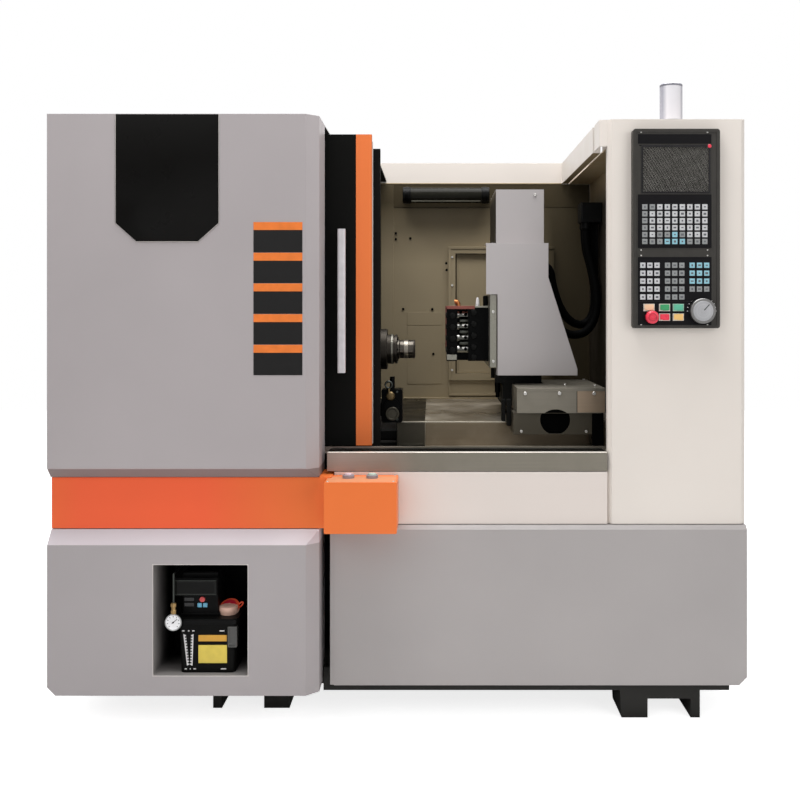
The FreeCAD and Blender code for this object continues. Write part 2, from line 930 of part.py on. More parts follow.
def control_case():
    """Panel housing with recesses for screen and keypads and pockets for its controls."""
    case = round_block("xz", (control_left, control_left + control_width),
                       (control_bottom, control_bottom + control_height), control_edge,
                       control_y, right_front_y)
    top = control_bottom + control_height
    face = box((control_left + control_frame, control_left + control_width - control_frame),
               (control_y - past, control_y + control_recess),
               (control_bottom + control_frame, top - control_frame))
    screen = box((control_left + screen_left, control_left + screen_left + screen_width),
                 (control_y, control_y + control_recess + screen_thickness),
                 (top - screen_from_top - screen_height, top - screen_from_top))
    pockets = []
    for x, z in push_places():
        half = push_size / 2 + push_clearance
        pockets.append(box((x - half, x + half), (control_y, control_y + push_pocket_depth),
                           (z - half, z + half)))
    pockets.append(rod("y", (stop_x(), control_y, stop_z()), stop_stem_radius + bearing_gap,
                       control_thickness - sheet))
    pockets.append(rod("y", (wheel_x(), control_y, wheel_z()), handwheel_stem_radius + bearing_gap,
                       control_thickness - sheet))
    keypads = []
    for from_top, height in ((upper_keypad_from_top, upper_keypad_height),
                             (lower_keypad_from_top, lower_keypad_height)):
        keypads.append(box((control_left + keypad_left, control_left + keypad_left + keypad_width),
                           (control_y + control_recess - keypad_thickness, control_y + 2 * control_recess),
                           (top - from_top - height, top - from_top)))
    return joined([case.cut([face])] + keypads).cut([screen] + pockets)


def control_screen():
    """Glass of the display, flush with the panel's face."""
    top = control_bottom + control_height
    return round_block("xz", (control_left + screen_left, control_left + screen_left + screen_width),
                       (top - screen_from_top - screen_height, top - screen_from_top), screen_round,
                       control_y + control_recess, control_y + control_recess + screen_thickness)


def push_places():
    """Centres (x, z) of the five square push-buttons."""
    low = control_bottom + push_row_low
    high = control_bottom + push_row_high
    columns = [control_left + c for c in (push_column_1, push_column_2, push_column_3)]
    return [(columns[0], high), (columns[1], high), (columns[2], high),
            (columns[1], low), (columns[2], low)]


def push_button(x, z):
    """Square button cap with softened edges, half sunk in its pocket."""
    half = push_size / 2
    front = control_y + control_recess - push_proud
    block = round_block("xz", (x - half, x + half), (z - half, z + half), push_round,
                        front, front + push_depth + push_proud)
    rim = [e for e in block.Edges if abs(e.CenterOfMass.y - front) < tolerance]
    return block.makeChamfer(push_chamfer, rim)


def stop_x():
    """X of the emergency stop."""
    return control_left + push_column_1 + stop_offset_x


def stop_z():
    """Z of the emergency stop."""
    return control_bottom + push_row_low


def emergency_stop():
    """Mushroom head on its stem."""
    face = control_y + control_recess
    head = face - stop_gap - stop_head_height
    dome = [(head + depth, share * stop_radius) for depth, share in stop_dome]
    back = face - stop_gap
    stem = [(back, stop_radius), (back, stop_stem_radius), (face + stop_gap, stop_stem_radius),
            (face + stop_gap, 0)]
    return turned([(head, 0)] + dome + stem, (stop_x(), 0, stop_z()), "y")


def wheel_x():
    """X of the hand pulse wheel."""
    return control_left + handwheel_x


def wheel_z():
    """Z of the hand pulse wheel."""
    return control_bottom + handwheel_z


def handwheel():
    """Flat turned wheel with a raised rim and a sunk face."""
    face = control_y + control_recess
    front = face - sheet - handwheel_thickness
    r = handwheel_radius
    sunk = front + handwheel_face_depth
    back = face - sheet
    end = face + handwheel_stem_length
    return turned([(sunk, 0), (sunk, r - handwheel_rim - handwheel_round), (front, r - handwheel_rim),
                   (front, r - handwheel_round), (front + handwheel_round, r), (back, r),
                   (back, handwheel_stem_radius), (end, handwheel_stem_radius), (end, 0)],
                  (wheel_x(), 0, wheel_z()), "y")


def signal_light():
    """Round light on the column roof: foot, groove, lens and softened top edge."""
    r = beacon_radius
    foot = beacon_base_height
    g = beacon_groove
    return turned([(0, 0), (0, r), (foot, r), (foot, r - g), (foot + g, r - g), (foot + g, r),
                   (beacon_height - g, r), (beacon_height, r - g), (beacon_height, 0)],
                  (beacon_x, inset(beacon_from_front + right_setback), work_roof), "z")


# ---------------------------------------------------------------- base

def base_frame():
    """Welded plinth with the coolant sump and four channel feet."""
    z = (base_bottom, base_top)
    outer = prism("xy", plinth_outline(0.0), *z)
    hollow = prism("xy", plinth_outline(base_wall), z[0] + base_wall, z[1] + base_wall)
    plinth = outer.cut(hollow)
    feet = [channel_foot(x, y, side) for x, y, side in foot_places()]
    holes = [rod("z", (x, y, -past), foot_hole_radius, base_wall + 2 * past) for x, y in foot_holes()]
    return joined([plinth] + feet).cut(holes)


def plinth_outline(wall):
    """Plan of the plinth, drawn in by a wall: it stands back behind the deeper left covers."""
    left = left_x + base_side_inset + wall
    right = right_x - base_side_inset - wall
    step_x = left_bay_x + seam + wall
    front = inset(base_front_inset) + wall
    left_front = left_cover_back + seam + wall
    rear = rear_y - base_rear_inset - wall
    return [(left, left_front), (step_x, left_front), (step_x, front), (right, front),
            (right, rear), (left, rear)]


def foot_places():
    """Outer x, front y and side of the machine (-1 left, 1 right) of the four feet."""
    front = inset(base_front_inset)
    rear = rear_y - foot_rear_inset - foot_depth
    return [(foot_left_x, front + foot_left_setback, -1), (foot_right_x, front, 1),
            (foot_left_x, rear, -1), (foot_right_x, rear, 1)]


def foot_holes():
    """Centres of the two anchor holes in the wide leg of each foot."""
    inward = foot_width - wide_leg / 2
    return [(x - side * inward + step * anchor_spacing / 2, y + foot_depth / 2)
            for x, y, side in foot_places() for step in (-1, 1)]


def channel_foot(x_outer, y_front, side):
    """Foot of a thin and a wide leg joined by a bridge, the wide one open at the rear."""
    w = base_wall
    steps = [(0, 0), (thin_leg, 0), (thin_leg, foot_arch_top), (foot_width - wide_leg, foot_arch_top),
             (foot_width - wide_leg, 0), (foot_width - foot_taper, 0), (foot_width, base_bottom),
             (0, base_bottom)]
    corners = [(x_outer - side * a, b) for a, b in steps]
    hollow = [(foot_width - wide_leg + w, w), (foot_width - foot_taper - w, w),
              (foot_width - w, base_bottom - w), (foot_width - wide_leg + w, base_bottom - w)]
    inside = [(x_outer - side * a, b) for a, b in hollow]
    outside = prism("xz", corners[::side], y_front, y_front + foot_depth)
    return outside.cut(prism("xz", inside[::side], y_front + w, y_front + foot_depth + w))


# ---------------------------------------------------------------- walls of the work area

def left_partition():
    """Black wall on the left of the work area, with its front post and the hole of the nose."""
    front = inset(partition_front_inset)
    back = rear_wall_y
    top = door_roof_top - door_roof_sheet - door_clearance - partition_top_drop
    wall = box((partition_x, partition_x + partition_sheet), (front, back), (partition_foot, top))
    post = box((partition_x, post_right), (front - post_depth, front), (partition_foot, top))
    flange = box((partition_x, flange_right), (front - sheet, back), (top - partition_sheet, top))
    hole = rod("x", (partition_x - past, spindle_y, spindle_z), nose_radius + nose_clearance,
               partition_sheet + 2 * past)
    return joined([wall, post, flange]).cut(hole)


def rear_wall():
    """Rear wall of the work area with the raised frame of its hatch and a sill at its foot."""
    x = (partition_x + partition_sheet, inner_wall_x)
    wall = box(x, (rear_wall_y, rear_wall_y + sheet), (rear_wall_bottom, work_roof - beam_drop - seam))
    frame = box((hatch_left, hatch_right), (rear_wall_y - hatch_depth, rear_wall_y),
                (hatch_bottom, hatch_top))
    window = box((hatch_left + hatch_frame, hatch_right - hatch_frame),
                 (rear_wall_y - 2 * hatch_depth, rear_wall_y),
                 (hatch_bottom + hatch_frame, hatch_top - hatch_frame))
    middle = (hatch_bottom + hatch_top) / 2
    bar = box((hatch_left, hatch_right), (rear_wall_y - hatch_depth / 2, rear_wall_y),
              (middle - hatch_frame, middle + hatch_frame))
    return joined([wall, frame.cut(window), bar])


def roof_rails():
    """Beam above the rear wall and rail on the right, joined at their corner."""
    back = inset(rear_wall_inset)
    front = inset(rail_front_inset)
    low = work_roof - beam_drop
    rail_left = column_x - rail_width
    beam = box((partition_x, inner_wall_x - seam), (back, back + beam_depth), (low, work_roof))
    rail = box((rail_left, column_x), (front, back), (low, work_roof))
    hollow = box((rail_left + sheet, column_x - sheet), (front + sheet, back),
                 (low - past, work_roof - sheet))
    return joined([beam, rail.cut(hollow)])


def right_inner_wall():
    """Wall on the right of the work area, its ceiling and the flange that meets the column."""
    front = right_front_y + inner_wall_front
    back = rear_wall_y - seam
    low = work_roof - beam_drop
    x = (column_x + sheet + seam, inner_wall_x)
    wall = box((inner_wall_x, inner_wall_x + sheet), (front, back),
               (partition_foot, work_roof - sheet - seam))
    flange = box(x, (front, front + sheet), (sill_top + seam, low))
    ceiling = box(x, (front, back), (low - sheet, low))
    return joined([wall, flange, ceiling])


def bed_cover():
    """Stainless cover over the ways: sloped top, bright front skirt and the slot of the saddle."""
    left = chute_left
    right = inner_wall_x - seam
    y0 = inset(chute_front_inset)
    y1 = rear_wall_y - seam
    t = chute_sheet
    low = chute_front_z - chute_skirt
    pan_y = right_front_y + sill_top_depth + seam
    profile = [(pan_y, low), (y0, low), (y0, chute_front_z), (y1, chute_rear_z), (y1, chute_rear_z - t),
               (y0 + t, chute_front_z - t), (y0 + t, low - t), (pan_y, low - t)]
    cover = prism("yz", profile, left, right)
    slot = box((neck_left - saddle_travel_left - slot_clearance,
                neck_right + saddle_travel_right + slot_clearance),
               (inset(neck_front_inset) - slot_clearance, inset(neck_rear_inset) + slot_clearance),
               (low + chute_skirt / 2, chute_rear_z + t))
    return cover.cut(slot)


# ---------------------------------------------------------------- sliding door

def door_panel():
    """Front sheet of the door, with its leading edge folded back."""
    right = post_left
    left = right - door_width
    body = box((left, right), (door_y, door_y + door_sheet), (door_bottom, door_roof_top))
    hollow = box((left + sheet, right - door_edge_strip), (door_y + sheet, door_y + door_sheet + past),
                 (door_bottom + sheet, door_roof_top - door_roof_sheet - sheet))
    strip_hollow = box((right - door_edge_strip + sheet, right - sheet),
                       (door_y + sheet, door_y + door_sheet + past),
                       (door_bottom + sheet, door_roof_top - door_roof_sheet - sheet))
    edges = [e for e in body.Edges if abs(e.CenterOfMass.x - right) < tolerance and e.Length > door_width]
    return body.makeChamfer(door_edge_chamfer, edges).cut([hollow, strip_hollow])


def door_roof():
    """Roof sheet of the door, with stiffening folds along its edges."""
    right = post_left - rail_width - door_clearance
    left = post_left - door_width
    y = (door_y + door_sheet, rear_wall_y - door_clearance)
    z = (door_roof_top - door_roof_sheet, door_roof_top)
    body = box((left, right), y, z)
    return body.cut(box((left + sheet, right - sheet), (y[0] + sheet, y[1] - sheet),
                        (z[0] - past, z[1] - sheet)))


def door_handle():
    """Upright pull bar on two feet."""
    half = handle_width / 2
    y = (door_y - handle_stand_off, door_y)
    grip = round_block("xy", (handle_x - half, handle_x + half), (y[0], y[0] + handle_width),
                       half / 2, handle_bottom, handle_top)
    feet = []
    for z in (handle_bottom + handle_foot_inset, handle_top - handle_foot_inset - handle_foot):
        feet.append(box((handle_x - half / 2, handle_x + half / 2), (y[0] + half, y[1]),
                        (z, z + handle_foot)))
    return joined([grip] + feet)


# ---------------------------------------------------------------- spindle line

def headstock():
    """Cast headstock: waisted body, wide foot, round nose through the partition and its bore."""
    top = spindle_z + headstock_top
    half = headstock_half_depth
    foot = headstock_foot_depth / 2
    step = way_top + headstock_foot_height
    slope = way_top + headstock_waist + headstock_slope
    side = [(-foot, way_top), (-foot, step), (-half, slope), (-half, top - headstock_shoulder),
            (headstock_shoulder - half, top)]
    profile = [(spindle_y + a, b) for a, b in side] + [(spindle_y - a, b) for a, b in reversed(side)]
    body = prism("yz", profile, headstock_left, partition_x - seam)
    nose_front = partition_x + nose_length
    collar = rod("x", (partition_x - seam, spindle_y, spindle_z), nose_radius, nose_length + seam)
    bore = rod("x", (headstock_left - past, spindle_y, spindle_z), spindle_radius + bearing_gap,
               nose_front - headstock_left + 2 * past)
    recess = ring("x", (nose_front - nose_recess_depth, spindle_y, spindle_z),
                  nose_radius - nose_recess_margin, spindle_flange_radius + nose_recess_gap,
                  nose_recess_depth + past)
    return joined([body, collar]).cut([bore, recess])


def spindle_shaft():
    """Hollow spindle with its grooved front flange."""
    flange_x = partition_x + nose_length + bearing_gap
    tail = headstock_left - pulley_width - spindle_tail
    r = spindle_radius
    f = spindle_flange_radius
    end = flange_x + spindle_flange_length
    groove = end - flange_groove_from_end
    return turned([(tail, spindle_bore), (tail, r), (flange_x, r), (flange_x, f), (groove, f),
                   (groove, f - flange_groove), (groove + flange_groove, f - flange_groove),
                   (groove + flange_groove, f), (end - flange_chamfer, f), (end, f - flange_chamfer),
                   (end, spindle_bore)], (0, spindle_y, spindle_z), "x")


def collet_chuck():
    """Collet chuck on the flange: collar, plain body and the countersunk mouth of its bore."""
    x0 = partition_x + nose_length + bearing_gap + spindle_flange_length
    x1 = x0 + chuck_length
    r = chuck_radius
    rise = chuck_collar_rise
    collar = x0 + chuck_collar_length
    return turned([(x0, chuck_bore), (x0, r + rise), (collar, r + rise), (collar + rise, r),
                   (x1 - chuck_chamfer, r), (x1, r - chuck_chamfer), (x1, chuck_bore + chuck_mouth),
                   (x1 - chuck_mouth, chuck_bore)], (0, spindle_y, spindle_z), "x")


def grooved_pulley(x, y, z, radius, bore, width):
    """Belt pulley with two flanges that keep the belt on."""
    half = width / 2
    outer = radius + pulley_lip
    inner = half - pulley_rim
    return turned([(-half, bore), (-half, outer), (-inner, outer), (-inner, radius),
                   (inner, radius), (inner, outer), (half, outer), (half, bore)], (x, y, z), "x")


def pulley_x():
    """Middle plane of the two pulleys."""
    return headstock_left - pulley_width / 2 - pulley_gap


def spindle_pulley():
    """Pulley on the tail of the spindle."""
    return grooved_pulley(pulley_x(), spindle_y, spindle_z, pulley_radius, spindle_radius,
                          pulley_width)


def motor_pulley():
    """Pulley of the motor with the motor's shaft."""
    z = spindle_z + motor_rise
    pulley = grooved_pulley(pulley_x(), spindle_y, z, motor_pulley_radius, motor_shaft_radius,
                            pulley_width)
    shaft = rod("x", (pulley_x() - pulley_width / 2 - motor_shaft_end, spindle_y, z),
                motor_shaft_radius, motor_shaft_end + pulley_width + motor_shaft_depth)
    return joined([pulley, shaft])


def drive_belt():
    """Flat belt round both pulleys: two arcs joined by straight runs."""
    gap = belt_gap
    inner = belt_outline(pulley_radius + gap, motor_pulley_radius + gap)
    outer = belt_outline(pulley_radius + gap + belt_thickness,
                         motor_pulley_radius + gap + belt_thickness)
    return outer.cut(inner)


def belt_outline(low_radius, high_radius):
    """Solid hull of two discs, one at each pulley, as wide as the belt."""
    lean = (low_radius - high_radius) / motor_rise
    across = math.sqrt(1 - lean * lean)
    x = pulley_x() - belt_width / 2
    corners = []
    for radius, z in ((low_radius, spindle_z), (high_radius, spindle_z + motor_rise)):
        corners.append((spindle_y + radius * across, z + radius * lean))
    middle = prism("yz", [(spindle_y, spindle_z), corners[0], corners[1],
                          (spindle_y, spindle_z + motor_rise),
                          (2 * spindle_y - corners[1][0], corners[1][1]),
                          (2 * spindle_y - corners[0][0], corners[0][1])], x, x + belt_width)
    discs = [rod("x", (x, spindle_y, spindle_z), low_radius, belt_width),
             rod("x", (x, spindle_y, spindle_z + motor_rise), high_radius, belt_width)]
    return joined([middle] + discs)


def spindle_motor():
    """Finned motor on a bracket that stands on the headstock."""
    z = spindle_z + motor_rise
    x0 = pulley_x() + pulley_width / 2 + motor_gap
    pitch = motor_length / motor_fins
    root = motor_radius - fin_groove_depth
    bore = motor_shaft_radius + bearing_gap
    profile = [(0, bore), (0, motor_radius)]
    for i in range(1, motor_fins):
        groove = i * pitch - fin_groove_width
        profile += [(groove, motor_radius), (groove, root), (i * pitch, root), (i * pitch, motor_radius)]
    profile += [(motor_length, motor_radius), (motor_length, 0), (motor_well, 0), (motor_well, bore)]
    body = turned(profile, (x0, spindle_y, z), "x")
    low = spindle_z + headstock_top
    x = (x0 + bracket_left, x0 + motor_length - bracket_right)
    half = bracket_half_depth
    bracket = box(x, (spindle_y - half, spindle_y + half), (low, z - motor_radius + bracket_overlap))
    window = box((x[0] + bracket_wall, x[1] - bracket_wall),
                 (spindle_y - half - past, spindle_y + half + past),
                 (low + bracket_floor, z - motor_radius - fin_groove_depth))
    return joined([body, bracket.cut(window)])


def coolant_nozzle():
    """Coolant block under the spindle nose, with its round boss, nozzle pipe and bracket."""
    y = inset(nozzle_inset)
    head = nozzle_top - nozzle_pipe_length
    block = round_block("xz", (nozzle_left, nozzle_right), (nozzle_bottom, head), nozzle_corner,
                        y, y + nozzle_depth)
    boss = rod("y", (nozzle_left + nozzle_boss_x, y - nozzle_boss_length, nozzle_bottom + nozzle_boss_z),
               nozzle_boss_radius, nozzle_boss_length + past)
    mid = (nozzle_left + nozzle_right) / 2
    pipe = rod("z", (mid, y + nozzle_depth / 2, head - past), nozzle_pipe_radius,
               nozzle_pipe_length + past)
    arm_y = y + nozzle_arm_front
    arm_z = nozzle_bottom + nozzle_arm_front
    bracket = box((partition_x + partition_sheet, nozzle_left + past), (arm_y, arm_y + nozzle_arm_depth),
                  (arm_z, arm_z + nozzle_arm_height))
    return joined([block, boss, pipe, bracket])


# ---------------------------------------------------------------- bed and long axis

def bed_casting():
    """Cast bed: hollow box body, open below, with two grooved ways on top."""
    x = (headstock_left - bed_left_overhang, bed_right)
    y = (inset(bed_front_inset), inset(bed_rear_inset))
    w = bed_wall
    hollow = box((x[0] + w, x[1] - w), (y[0] + w, y[1] - w), (bed_bottom - past, bed_top - w))
    shape = box(x, y, (bed_bottom, bed_top)).cut(hollow)
    groove_z = (bed_top + way_groove_low, way_top - way_groove_high)
    ways = []
    slots = []
    for d in (front_way_inset, rear_way_inset):
        ways.append(box(x, (inset(d), inset(d) + way_width), (bed_top - past, way_top)))
        for low, high in ((d - past, d + way_groove), (d + way_width - way_groove, d + way_width + past)):
            slots.append(box((partition_x, x[1] + past), (inset(low), inset(high)), groove_z))
    feet = []
    for low in (y[0] + w, y[1] - 3 * w):
        feet.append(box((x[0] + w, x[1] - w), (low, low + 2 * w), (base_top, bed_bottom + w)))
    return joined([shape] + ways + feet).cut(slots)


def saddle():
    """Cast saddle: slab on the ways, neck through the slot and the plate under the column."""
    gap = slide_gap
    x = (upper_box_left, upper_box_right)
    y = (inset(front_way_inset - saddle_margin), inset(rear_way_inset + way_width + saddle_margin))
    low = way_top + gap
    skirt = low - saddle_skirt
    slab = box(x, y, (skirt, chute_front_z - chute_sheet - saddle_top_gap))
    through = (x[0] - past, x[1] + past)
    grooves = [box(through, (inset(d) - gap, inset(d) + way_width + gap), (skirt - past, low))
               for d in (front_way_inset, rear_way_inset)]
    middle = box(through, (inset(front_way_inset + way_width + saddle_margin),
                           inset(rear_way_inset - saddle_margin)), (skirt - past, low))
    screw_y = inset(z_screw_inset)
    nut = box((x[0] + nut_inset_x, x[1] - nut_inset_x),
              (screw_y - nut_half_depth, screw_y + nut_half_depth), (z_screw_z() - nut_drop, low + past))
    bore = rod("x", (x[0], screw_y, z_screw_z()), screw_radius + screw_clearance, x[1] - x[0])
    neck = box((neck_left, neck_right), (inset(neck_front_inset), inset(neck_rear_inset)),
               (low + neck_lap, upper_box_bottom + neck_lap))
    front = inset(upper_box_front_inset + plate_margin_y)
    step = column_left + way_strip
    plan = [(x[0] + plate_margin_x, front), (x[1] - plate_margin_x, front),
            (x[1] - plate_margin_x, inset(upper_box_rear_inset - plate_rear_margin)),
            (column_right, inset(column_rear_inset)), (step, inset(column_rear_inset)),
            (step, inset(column_front_inset)), (x[0] + plate_margin_x, inset(column_front_inset))]
    pad_low = upper_box_top - pad_height
    plate = prism("xy", plan, upper_box_bottom, pad_low)
    pad = box((step, column_right), (inset(column_front_inset), inset(column_rear_inset)),
              (pad_low - past, upper_box_top))
    return joined([slab.cut(grooves + [middle]), nut, neck, plate, pad]).cut(bore)


def z_screw_z():
    """Height of the long axis ball screw."""
    return way_top - z_screw_drop


def ball_screw(axis, start, length, radius, journal):
    """Ball screw shaft with a turned journal at each end."""
    neck = screw_neck_share * radius
    lead_in = screw_lead_in_share * radius
    return turned([(0, 0), (0, neck), (journal, neck), (journal, radius - lead_in),
                   (journal + lead_in, radius), (length - journal - lead_in, radius),
                   (length - journal, radius - lead_in), (length - journal, neck), (length, neck),
                   (length, 0)], start, axis)


def z_ball_screw():
    """Ball screw of the long axis."""
    start = partition_x + z_screw_margin
    return ball_screw("x", (start, inset(z_screw_inset), z_screw_z()),
                      bed_right + z_screw_overlap - start, screw_radius, screw_journal)


def z_servo():
    """Servo motor at the right end of the bed, with its flange and connector."""
    half = servo_size / 2
    body_half = half - servo_margin
    y = inset(z_screw_inset)
    z = z_screw_z()
    x0 = bed_right
    x1 = x0 + servo_flange
    flange = box((x0, x1), (y - half, y + half), (z - half, z + half))
    body = round_block("yz", (y - body_half, y + body_half), (z - body_half, z + body_half),
                       servo_corner, x1, x0 + servo_length)
    plug = rod("z", (x0 + servo_length - servo_plug_from_end, y, z - half - servo_plug_drop),
               servo_plug_radius, servo_plug_drop + servo_plug_lap)
    well = rod("x", (x0 - past, y, z), screw_radius * screw_neck_share + screw_clearance, servo_well)
    return joined([flange, body, plug]).cut(well)


def sheet_box(x, y, z, wall, open_bottom=True):
    """Folded box of thin sheet, open below and at the rear."""
    low = z[0] - past if open_bottom else z[0] + wall
    return box(x, y, z).cut(box((x[0] + wall, x[1] - wall), (y[0] + wall, y[1] + past),
                                (low, z[1] - wall)))


def saddle_covers():
    """The two stainless covers of the saddle, with the notch, the port and the column's cut-out."""
    y = (inset(upper_box_front_inset), inset(upper_box_rear_inset))
    top = upper_box_top + box_sheet
    upper = sheet_box((upper_box_left, upper_box_right), y, (upper_box_bottom, top), box_sheet)
    cutout = box((upper_box_left - past, column_right + cutout_gap_x),
                 (inset(tower_cover_front_inset) - cutout_gap_y, y[1] + past),
                 (upper_box_bottom - past, top + past))
    notch = rod("y", (port_x, y[0] - past, upper_box_bottom - notch_drop), notch_radius,
                box_sheet + 2 * past)
    front = y[0] + lower_box_setback
    lower = sheet_box((lower_box_left, lower_box_right), (front, front + lower_box_depth),
                      (lower_box_bottom, upper_box_bottom - lower_box_gap), box_sheet, open_bottom=False)
    port = rod("y", (port_x, front - past, port_z), port_radius, box_sheet + 2 * past)
    return Part.makeCompound([upper.cut([cutout, notch]), lower.cut(port)])


# ---------------------------------------------------------------- column and tool slide

def column():
    """Cast column: tapered ribbed box with two ways on its left face."""
    y = (inset(column_front_inset), inset(column_rear_inset))
    x = (column_left + way_strip, column_right)
    low = upper_box_top
    body = box(x, y, (low, column_top))
    w = column_wall
    hollow = box((x[0] + w, x[1] + past), (y[0] + w, y[1] - w), (low + w, column_top - w))
    ribs = []
    for i in range(column_ribs):
        z = low + (i + 1) * (column_top - low) / (column_ribs + 1)
        ribs.append(box((x[0] + w - past, x[1]), (y[0] + w - past, y[1] - w + past), (z, z + w)))
    ways = []
    for d in (column_front_inset, column_rear_inset - way_strip_width):
        ways.append(box((column_left, x[0] + past), (inset(d), inset(d) + way_strip_width),
                        (low, way_strip_top())))
    return joined([body.cut(hollow)] + ribs + ways)


def way_strip_top():
    """Height of the upper ends of the column's ways."""
    return slide_plate_top + slide_up + way_strip_margin


def column_covers():
    """Tall narrow cover over the column and the wide plate in front of it."""
    y0 = inset(tower_cover_front_inset)
    y1 = inset(column_rear_inset) + tower_rear_margin
    t = front_plate_sheet
    low = tower_cover_bottom
    side = column_right + tower_side_gap
    outer = box((column_left, side + t), (y0, y1), (low, tower_cover_top))
    inner = box((column_left - past, side), (y0 + t, y1 - t), (low - past, tower_cover_top - t))
    tower = outer.cut(inner)
    left_wall = box((column_left, column_left + t), (y0, y1), (way_strip_top() + seam, tower_cover_top))
    front_y0 = inset(front_plate_inset)
    outline = plate_outline()
    plate = prism("xz", outline, front_y0, front_y0 + t)
    top = box((outline[0][0], outline[1][0]), (front_y0, y0), (outline[0][1] - t, outline[0][1]))
    right = box((outline[1][0] - t, outline[1][0]), (front_y0, y0), (outline[2][1], outline[1][1]))
    return joined([tower, left_wall, plate, top, right])


def plate_outline():
    """Outline of the wide plate, from its top left corner clockwise."""
    return [(plate_left, plate_top), (plate_right, plate_top), (plate_right, plate_shoulder),
            (plate_skirt_right, plate_skirt_bottom + plate_skirt_edge),
            (plate_skirt_right, plate_skirt_bottom), (column_left, plate_skirt_bottom),
            (column_left, slide_plate_top), (plate_left, slide_plate_top)]


def x_servo():
    """Servo motor on the head of the column, inside its cover."""
    half = x_servo_size / 2
    y = inset(x_screw_inset)
    x = x_screw_x()
    right = column_right - x_servo_margin
    z = column_top + x_servo_flange
    flange = box((x - x_screw_radius, right), (y - half, y + half), (column_top, z))
    body = round_block("xy", (right - x_servo_size, right), (y - half, y + half), x_servo_corner,
                       z, tower_cover_top - x_servo_flange)
    well = rod("z", (x, y, column_top - past), x_screw_radius * screw_neck_share + screw_clearance,
               x_servo_well)
    return joined([flange, body]).cut(well)


def x_screw_x():
    """X of the tool slide's ball screw."""
    return column_left + way_strip / 2 + x_screw_offset


def x_ball_screw():
    """Ball screw of the tool slide."""
    low = slide_plate_bottom - slide_down
    return ball_screw("z", (x_screw_x(), inset(x_screw_inset), low),
                      column_top + x_screw_overlap - low, x_screw_radius, screw_journal / 2)


def slide_plate():
    """Vertical slide plate with its screw nut and guide blocks on the column's ways."""
    x = (column_left - slide_gap - slide_plate_thickness, column_left - slide_gap)
    y = (inset(slide_front_inset), inset(slide_rear_inset))
    z = (slide_plate_bottom, slide_plate_top)
    plate = box(x, y, z)
    sx = x_screw_x()
    sy = inset(x_screw_inset)
    nut_z = z[0] + slide_nut_rise
    nut = box((x[1] - past, sx + slide_nut_side), (sy - slide_nut_half, sy + slide_nut_half),
              (nut_z, nut_z + slide_nut_height))
    bore = rod("z", (sx, sy, z[0]), x_screw_radius + screw_clearance, z[1] - z[0])
    front = [e for e in plate.Edges if abs(e.CenterOfMass.y - y[0]) < tolerance]
    return joined([plate.makeChamfer(slide_plate_chamfer, front), nut]).cut(bore)


def tool_block():
    """Gang tool block: back plate, two clamp bars and the bored carrier of the four sleeves."""
    right = column_left - slide_gap - slide_plate_thickness
    y = (spindle_y - tool_block_half_depth, spindle_y + tool_block_half_depth)
    z = (tool_block_bottom, tool_block_top)
    left = tool_block_left
    c0 = left + tool_left_clamp
    c1 = right - tool_right_clamp
    front = box((left, c0), y, z)
    rear = box((c1, right), y, z)
    back = box((left, right), (y[1] - tool_back_plate, y[1]), z)
    core = box((c0, c1), (spindle_y, y[1]), (z[0] + core_margin, z[1] - core_margin))
    holes = [rod("x", (left - past, spindle_y, tz), sleeve_radius, right - left + 2 * past)
             for tz in tool_heights()]
    body = joined([front, rear, back, core])
    corners = [e for e in body.Edges if abs(e.CenterOfMass.y - y[0]) < tolerance
               and abs(e.CenterOfMass.z - (z[0] + z[1]) / 2) > (z[1] - z[0]) / 2 - tolerance]
    return body.makeChamfer(tool_block_chamfer, corners).cut(holes)


def tool_heights():
    """Heights of the tool sleeves, the lowest on the spindle axis."""
    return [spindle_z + i * tool_pitch for i in range(tool_count)]


def tool_sleeves():
    """The four tool sleeves, each a plain shank with a turned-down tip."""
    left = tool_block_left - sleeve_proud
    right = column_left - slide_gap - slide_plate_thickness
    sleeves = []
    for z in tool_heights():
        step = left + sleeve_proud
        profile = [(left, 0), (left, sleeve_tip_radius), (step, sleeve_tip_radius + sleeve_tip_taper),
                   (step, sleeve_radius), (right, sleeve_radius), (right, 0)]
        sleeves.append(turned(profile, (0, spindle_y, z), "x"))
    return Part.makeCompound(sleeves)


# ---------------------------------------------------------------- lamp and conduits

def work_lamp():
    """Tubular lamp with its two end caps and the brackets to the rear wall."""
    r = lamp_radius
    c = lamp_cap
    e = lamp_cap_round
    tube = r - lamp_cap_rise
    length = lamp_right - lamp_left
    y = inset(lamp_inset)
    body = turned([(0, 0), (0, r - e), (e, r), (c, r), (c, tube), (length - c, tube), (length - c, r),
                   (length - e, r), (length, r - e), (length, 0)], (lamp_left, y, lamp_z), "x")
    arms = [box((x, x + c / 2), (y, rear_wall_y), (lamp_z - lamp_arm_half, lamp_z + lamp_arm_half))
            for x in (lamp_left + c / 4, lamp_right - 3 * c / 4)]
    return joined([body] + arms)


def faceted_circle(radius, centre, heading):
    """Regular polygon round a circle's centre, square to its heading."""
    across = heading.cross(Vector(0, 1, 0)).normalize()
    upright = heading.cross(across)
    corners = []
    for i in range(conduit_sides):
        turn = 2 * math.pi * i / conduit_sides
        corners.append(centre + across * (radius * math.cos(turn)) + upright * (radius * math.sin(turn)))
    return Part.makePolygon(corners + corners[:1])


